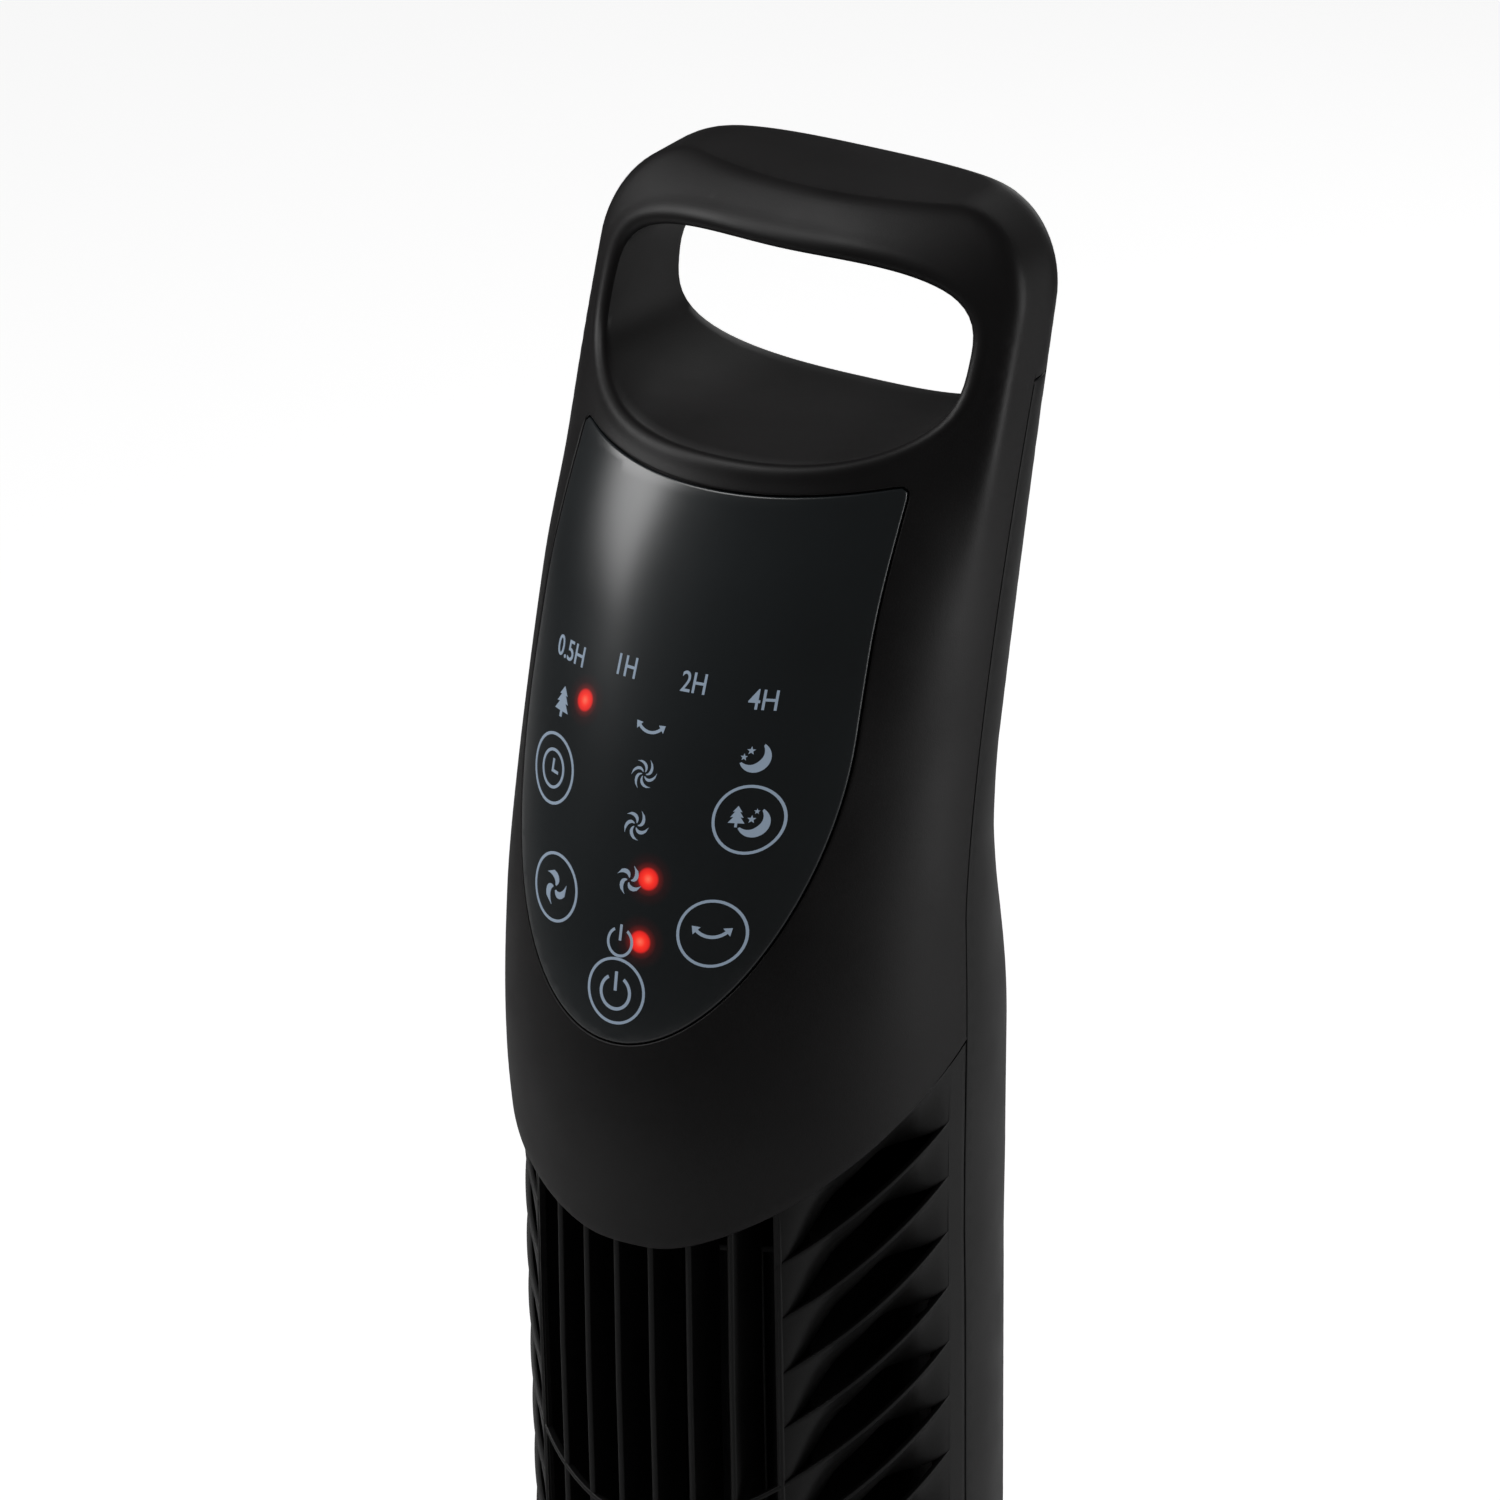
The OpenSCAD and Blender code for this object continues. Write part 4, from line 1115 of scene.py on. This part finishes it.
def lens_marks():
    shapes = []
    for text, x, h in TIMER_MARKS:
        shapes += text_mark(text, x, h, 6.0)
    shapes += tree_mark(-37.4, 196.8, 0.95)
    shapes += swing_mark(0.0, 198.2, 0.92, 0.9)
    shapes += moon_mark(34.7, 194.4, 4.6) + star_mark(33.4, 196.2, 1.3) + star_mark(31.6, 194.2, 1.1)
    shapes += fan_mark(0.7, 185.2, 4.6, 6) + fan_mark(0.8, 170.1, 4.6, 5) + fan_mark(1.2, 153.7, 4.6, 4)
    shapes += power_mark(0.5, 134.6, 4.3, 0.85)
    # Timer key
    x, h = -37.1, 176.9
    shapes += arc_band(x, h, RING_R, RING_LINE) + arc_band(x, h, 5.4, RING_LINE, steps=36)
    shapes += stroke(x, h + 2.9, x, h - 1.0, 0.85) + stroke(x - 0.42, h - 0.6, x + 2.9, h - 0.6, 0.85)
    # Speed key
    x, h = -28.3, 143.8
    shapes += arc_band(x, h, RING_R, RING_LINE) + fan_mark(x, h, 5.6, 3, 60)
    # Night key
    x, h = 35.5, 175.8
    shapes += arc_band(x, h, RING_R, RING_LINE) + tree_mark(x - 3.2, h + 0.9, 0.68)
    shapes += moon_mark(x + 1.6, h - 0.6, 4.6)
    shapes += star_mark(x + 1.0, h + 0.2, 1.3) + star_mark(x + 2.2, h + 2.6, 0.9)
    # Swing key
    x, h = 29.4, 141.0
    shapes += arc_band(x, h, RING_R, RING_LINE) + swing_mark(x, h, 1.05, 1.0)
    # Power key
    x, h = 0.4, 119.3
    shapes += arc_band(x, h, RING_R, RING_LINE) + power_mark(x, h - 0.4, 5.2, 1.0)
    return shapes


def build_lens_print():
    mesh = bmesh.new()
    top_lift, low_lift = 0.09, -0.12

    def on_lens(x, h, lift):
        return head_point(phi_at(x, h), h, lift)

    for shape in lens_marks():
        area = sum(shape[i - 1][0] * shape[i][1] - shape[i][0] * shape[i - 1][1] for i in range(len(shape)))
        ring = shape if area > 0 else shape[::-1]
        high = [mesh.verts.new(on_lens(x, h, top_lift)) for x, h in ring]
        low = [mesh.verts.new(on_lens(x, h, low_lift)) for x, h in ring]
        mesh.faces.new(high)
        mesh.faces.new(low[::-1])
        for i in range(len(ring)):
            mesh.faces.new((high[i - 1], low[i - 1], low[i], high[i]))
    obj = to_object(mesh, "lens_print", "tower", "lens_gloss")
    # The marks take the print ink, which carries a painted glow
    obj.data.materials[0] = PRINT_INK_PAINTED_GLOW
    return obj


# ---- Base, shroud, feet and gland ----
def build_base():
    low, high = (c / MM for c in (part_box("base_cover")[0].z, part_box("base_cover")[1].z))
    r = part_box("base_cover")[1].x / MM
    collar = COLUMN_R - 8
    outline = [(r - 3, low), (r - 0.4, low), (r, low + 0.8), (r, low + 6.0), (r - 1.2, low + 8.2),
               (r - 4.5, low + 10.3)]
    ramp = [(r - 4.5, low + 10.3), (r - 30, low + 18.2), (r - 31.2, low + 17.9), (r - 32.4, low + 18.6)]
    dome = [(r - 32.4, low + 18.6)]
    for i in range(1, 13):
        t = i / 12
        dome.append((r - 32.4 - (r - 32.4 - collar - 5) * t,
                     low + 18.6 + 16.4 * (t + 0.20 * math.sin(PI * t))))
    neck = [(collar + 1.6, low + 37.6), (collar + 0.3, low + 41.5), (collar, high - 1.0),
            (collar - 0.9, high)]
    inside_line = [(collar - 5, high), (collar - 5, low + 33), (r - 34, low + 14.5), (r - 7, low + 7),
                   (r - 3, low + 4)]
    mesh = bmesh.new()
    turned(mesh, outline + ramp[1:] + dome[1:] + neck + inside_line, 1.4, 4, 160)
    bmesh.ops.recalc_face_normals(mesh, faces=mesh.faces)
    return to_object(mesh, "base_cover_dome", "base", "base_plastic", ["base_cover"], sharp=40)


IMPELLER_STAGES = 4
DISC_T = 2.0
BLADES = 30
BLADE_ROOT = 9.5
BLADE_SWEEP = math.radians(15)


def build_impeller():
    """Cross-flow impeller: discs and rings with a cage of thin forward-curved blades."""
    mesh = bmesh.new()
    low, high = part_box("impeller")[0].z / MM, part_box("impeller")[1].z / MM
    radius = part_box("impeller")[1].x / MM
    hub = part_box("drive_hub")[1].x / MM
    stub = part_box("impeller_stub")[1].x / MM
    stage = (high - low - DISC_T) / IMPELLER_STAGES
    inner = radius - BLADE_ROOT - 2
    parts = [[(hub, low), (radius, low), (radius, low + DISC_T), (hub + 3, low + DISC_T), (hub + 3, low + 8),
              (hub, low + 8)],
             [(stub, high - DISC_T), (radius, high - DISC_T), (radius, high), (stub, high)]]
    parts += [[(inner, z), (radius, z), (radius, z + DISC_T), (inner, z + DISC_T)]
              for z in (low + k * stage for k in range(1, IMPELLER_STAGES))]
    for corners in parts:
        turned(mesh, corners, 0.4, 2, 96)
    steps = 6
    for i in range(BLADES):
        start = 2 * PI * i / BLADES
        outline = []
        for side in (1, -1):
            for j in range(steps + 1):
                t = j / steps if side > 0 else 1 - j / steps
                r = radius - 0.4 - BLADE_ROOT * (1 - t)
                half = 0.55 * (1 - 0.5 * t) / r
                a = start + BLADE_SWEEP * t ** 1.5 + side * half
                outline.append((r * math.cos(a), r * math.sin(a)))
        loft(mesh, [[Vector((x, y, z)) for x, y in outline] for z in (low + DISC_T / 2, high - DISC_T / 2)])
    bmesh.ops.recalc_face_normals(mesh, faces=mesh.faces)
    return to_object(mesh, "impeller_cage", "rotor", "impeller_plastic", ["impeller"])


def build_feet():
    mesh = bmesh.new()
    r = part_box("base_cover")[1].x / MM
    foot_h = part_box("rubber_feet")[1].z / MM
    for k in range(5):
        a = 2 * PI * k / 5
        start = len(mesh.verts)
        profile = soften([(0, foot_h), (10, foot_h), (10, 1.0), (9.2, 0.0), (6.5, 0.0), (6.0, 0.8),
                          (0, 0.8)], 0.5, 3, closed=False)
        lathe(mesh, profile, 40)
        mesh.verts.ensure_lookup_table()
        fresh = mesh.verts[start:]
        bmesh.ops.translate(mesh, verts=fresh, vec=((r - 27) * math.cos(a), (r - 27) * math.sin(a), 0))
    bmesh.ops.recalc_face_normals(mesh, faces=mesh.faces)
    return to_object(mesh, "rubber_feet_pads", "base", "rubber", ["rubber_feet"])


def build_shroud():
    """Lower shroud: a smooth tapered tube with a shadow groove at its top and a rounded foot."""
    low, high = SHROUD_Z, DUCT_Z

    def wall_line(z):
        return column_r(z - HEAD_Z)

    gland_z = (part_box("cord_gland")[0].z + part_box("cord_gland")[1].z) / 2 / MM
    outline = [(20, low), (wall_line(low) - 1.2, low), (wall_line(low), low + 1.6)]
    outline += [(wall_line(z), z) for z in spaced(low + 8, high - 4, 12)]
    outline += [(wall_line(high), high - 1.2), (wall_line(high) - 0.9, high - 0.2),
                (wall_line(high) - WALL, high - 0.2), (wall_line(low) - WALL, low + 2.5), (20, low + 2.5)]
    mesh = bmesh.new()
    turned(mesh, outline, 0.9, 4, 144)
    bmesh.ops.recalc_face_normals(mesh, faces=mesh.faces)
    shroud = to_object(mesh, "lower_shroud_skin", "tower", "housing_plastic", ["lower_shroud"], sharp=40)
    shroud.data.materials[0] = REAR_FINISH

    mesh = bmesh.new()
    bore, flange = 3.6, 8.0
    profile = [(bore, -9), (6, -9), (6, 0.2), (flange, 0.4), (flange, 2.2), (6.6, 3.4), (5.0, 3.5),
               (bore, 2.8)]
    turned(mesh, profile, 0.5, 3, 48)
    place = Vector((0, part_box("cord_gland")[1].y / MM - 3.6, gland_z))
    turn = Matrix.Translation(place) @ Matrix.Rotation(-PI / 2, 4, "X")
    bmesh.ops.transform(mesh, matrix=turn, verts=mesh.verts)
    bmesh.ops.recalc_face_normals(mesh, faces=mesh.faces)
    to_object(mesh, "cord_inlet_gland", "tower", "rubber", ["cord_gland"])


# ---- Stage: floor, lights and camera ----
FLOOR_GLOW = 0.82
BACKDROP = 1.0
FILL = 0.05


def build_floor():
    mesh = bmesh.new()
    bmesh.ops.create_grid(mesh, x_segments=8, y_segments=8, size=40)
    data = bpy.data.meshes.new("studio_floor")
    mesh.to_mesh(data)
    mesh.free()
    floor = add_object("studio_floor", data)
    mat = bpy.data.materials.new("studio_floor")
    mat.use_nodes = True
    nodes, links = mat.node_tree.nodes, mat.node_tree.links
    out = nodes["Principled BSDF"]
    put(out, Base_Color=(0.8, 0.8, 0.8, 1), Roughness=0.9, Specular_IOR_Level=0.1,
        Emission_Color=(1, 1, 1, 1))
    seen = nodes.new("ShaderNodeLightPath")
    glow = nodes.new("ShaderNodeMath")
    glow.operation = "MULTIPLY"
    glow.inputs[1].default_value = FLOOR_GLOW
    links.new(seen.outputs["Is Camera Ray"], glow.inputs[0])
    links.new(glow.outputs["Value"], out.inputs["Emission Strength"])
    data.materials.append(mat)


def build_world():
    world = bpy.data.worlds.new("studio")
    bpy.context.scene.world = world
    world.use_nodes = True
    nodes, links = world.node_tree.nodes, world.node_tree.links
    back = nodes["Background"]
    put(back, Color=(1, 1, 1, 1))
    seen = nodes.new("ShaderNodeLightPath")
    level = nodes.new("ShaderNodeMapRange")
    put(level, To_Min=FILL, To_Max=BACKDROP)
    links.new(seen.outputs["Is Camera Ray"], level.inputs["Value"])
    links.new(level.outputs["Result"], back.inputs["Strength"])


def softbox(name, place, target, width, tall, power):
    light = bpy.data.lights.new(name, "AREA")
    light.shape = "RECTANGLE"
    light.size, light.size_y = width, tall
    light.energy = power
    obj = add_object(name, light)
    obj.location = place
    obj.rotation_euler = (Vector(target) - Vector(place)).to_track_quat("-Z", "Y").to_euler()


VIEW_AZIMUTH = math.radians(33.71)
VIEW_TILT = math.radians(22.65)
VIEW_ROLL = math.radians(-1.0)
VIEW_DISTANCE = 6.0
VIEW_AIM = (-0.0044, 0.1574)
VIEW_LENS = 460.4


def build_camera():
    a, e = VIEW_AZIMUTH, VIEW_TILT
    right = Vector((math.cos(a), math.sin(a), 0))
    back = Vector((math.sin(a) * math.cos(e), -math.cos(a) * math.cos(e), math.sin(e)))
    up = back.cross(right)
    rolled_right = right * math.cos(VIEW_ROLL) + up * math.sin(VIEW_ROLL)
    rolled_up = up * math.cos(VIEW_ROLL) - right * math.sin(VIEW_ROLL)
    data = bpy.data.cameras.new("camera")
    data.lens = VIEW_LENS
    data.sensor_width = 36
    data.clip_end = 200
    camera = add_object("camera", data)
    place = back * VIEW_DISTANCE + rolled_right * VIEW_AIM[0] + rolled_up * VIEW_AIM[1]
    place += Vector((0, 0, HEAD_Z * MM))
    turn = Matrix((rolled_right, rolled_up, back)).transposed()
    camera.matrix_world = Matrix.Translation(place) @ turn.to_4x4()
    bpy.context.scene.camera = camera
    bpy.context.scene.view_settings.view_transform = "Standard"


build_camera()
build_world()
build_floor()
middle = Vector((0, 0, 0.72))
softbox("softbox_left", (-1.75, -0.75, 1.75), middle, 1.1, 0.9, 10)
softbox("softbox_right", (1.9, 0.9, 0.95), middle, 0.8, 1.6, 9)
softbox("softbox_top", (-0.85, -0.6, 2.45), middle, 0.8, 0.8, 6)
softbox("softbox_back", (-0.4, 2.4, 1.3), middle, 1.2, 1.2, 7)

build_front_shell()
build_rear_shell()
build_rear_grille()
build_front_grille()
build_lens()
build_lens_print()
build_base()
build_feet()
build_impeller()
build_shroud()
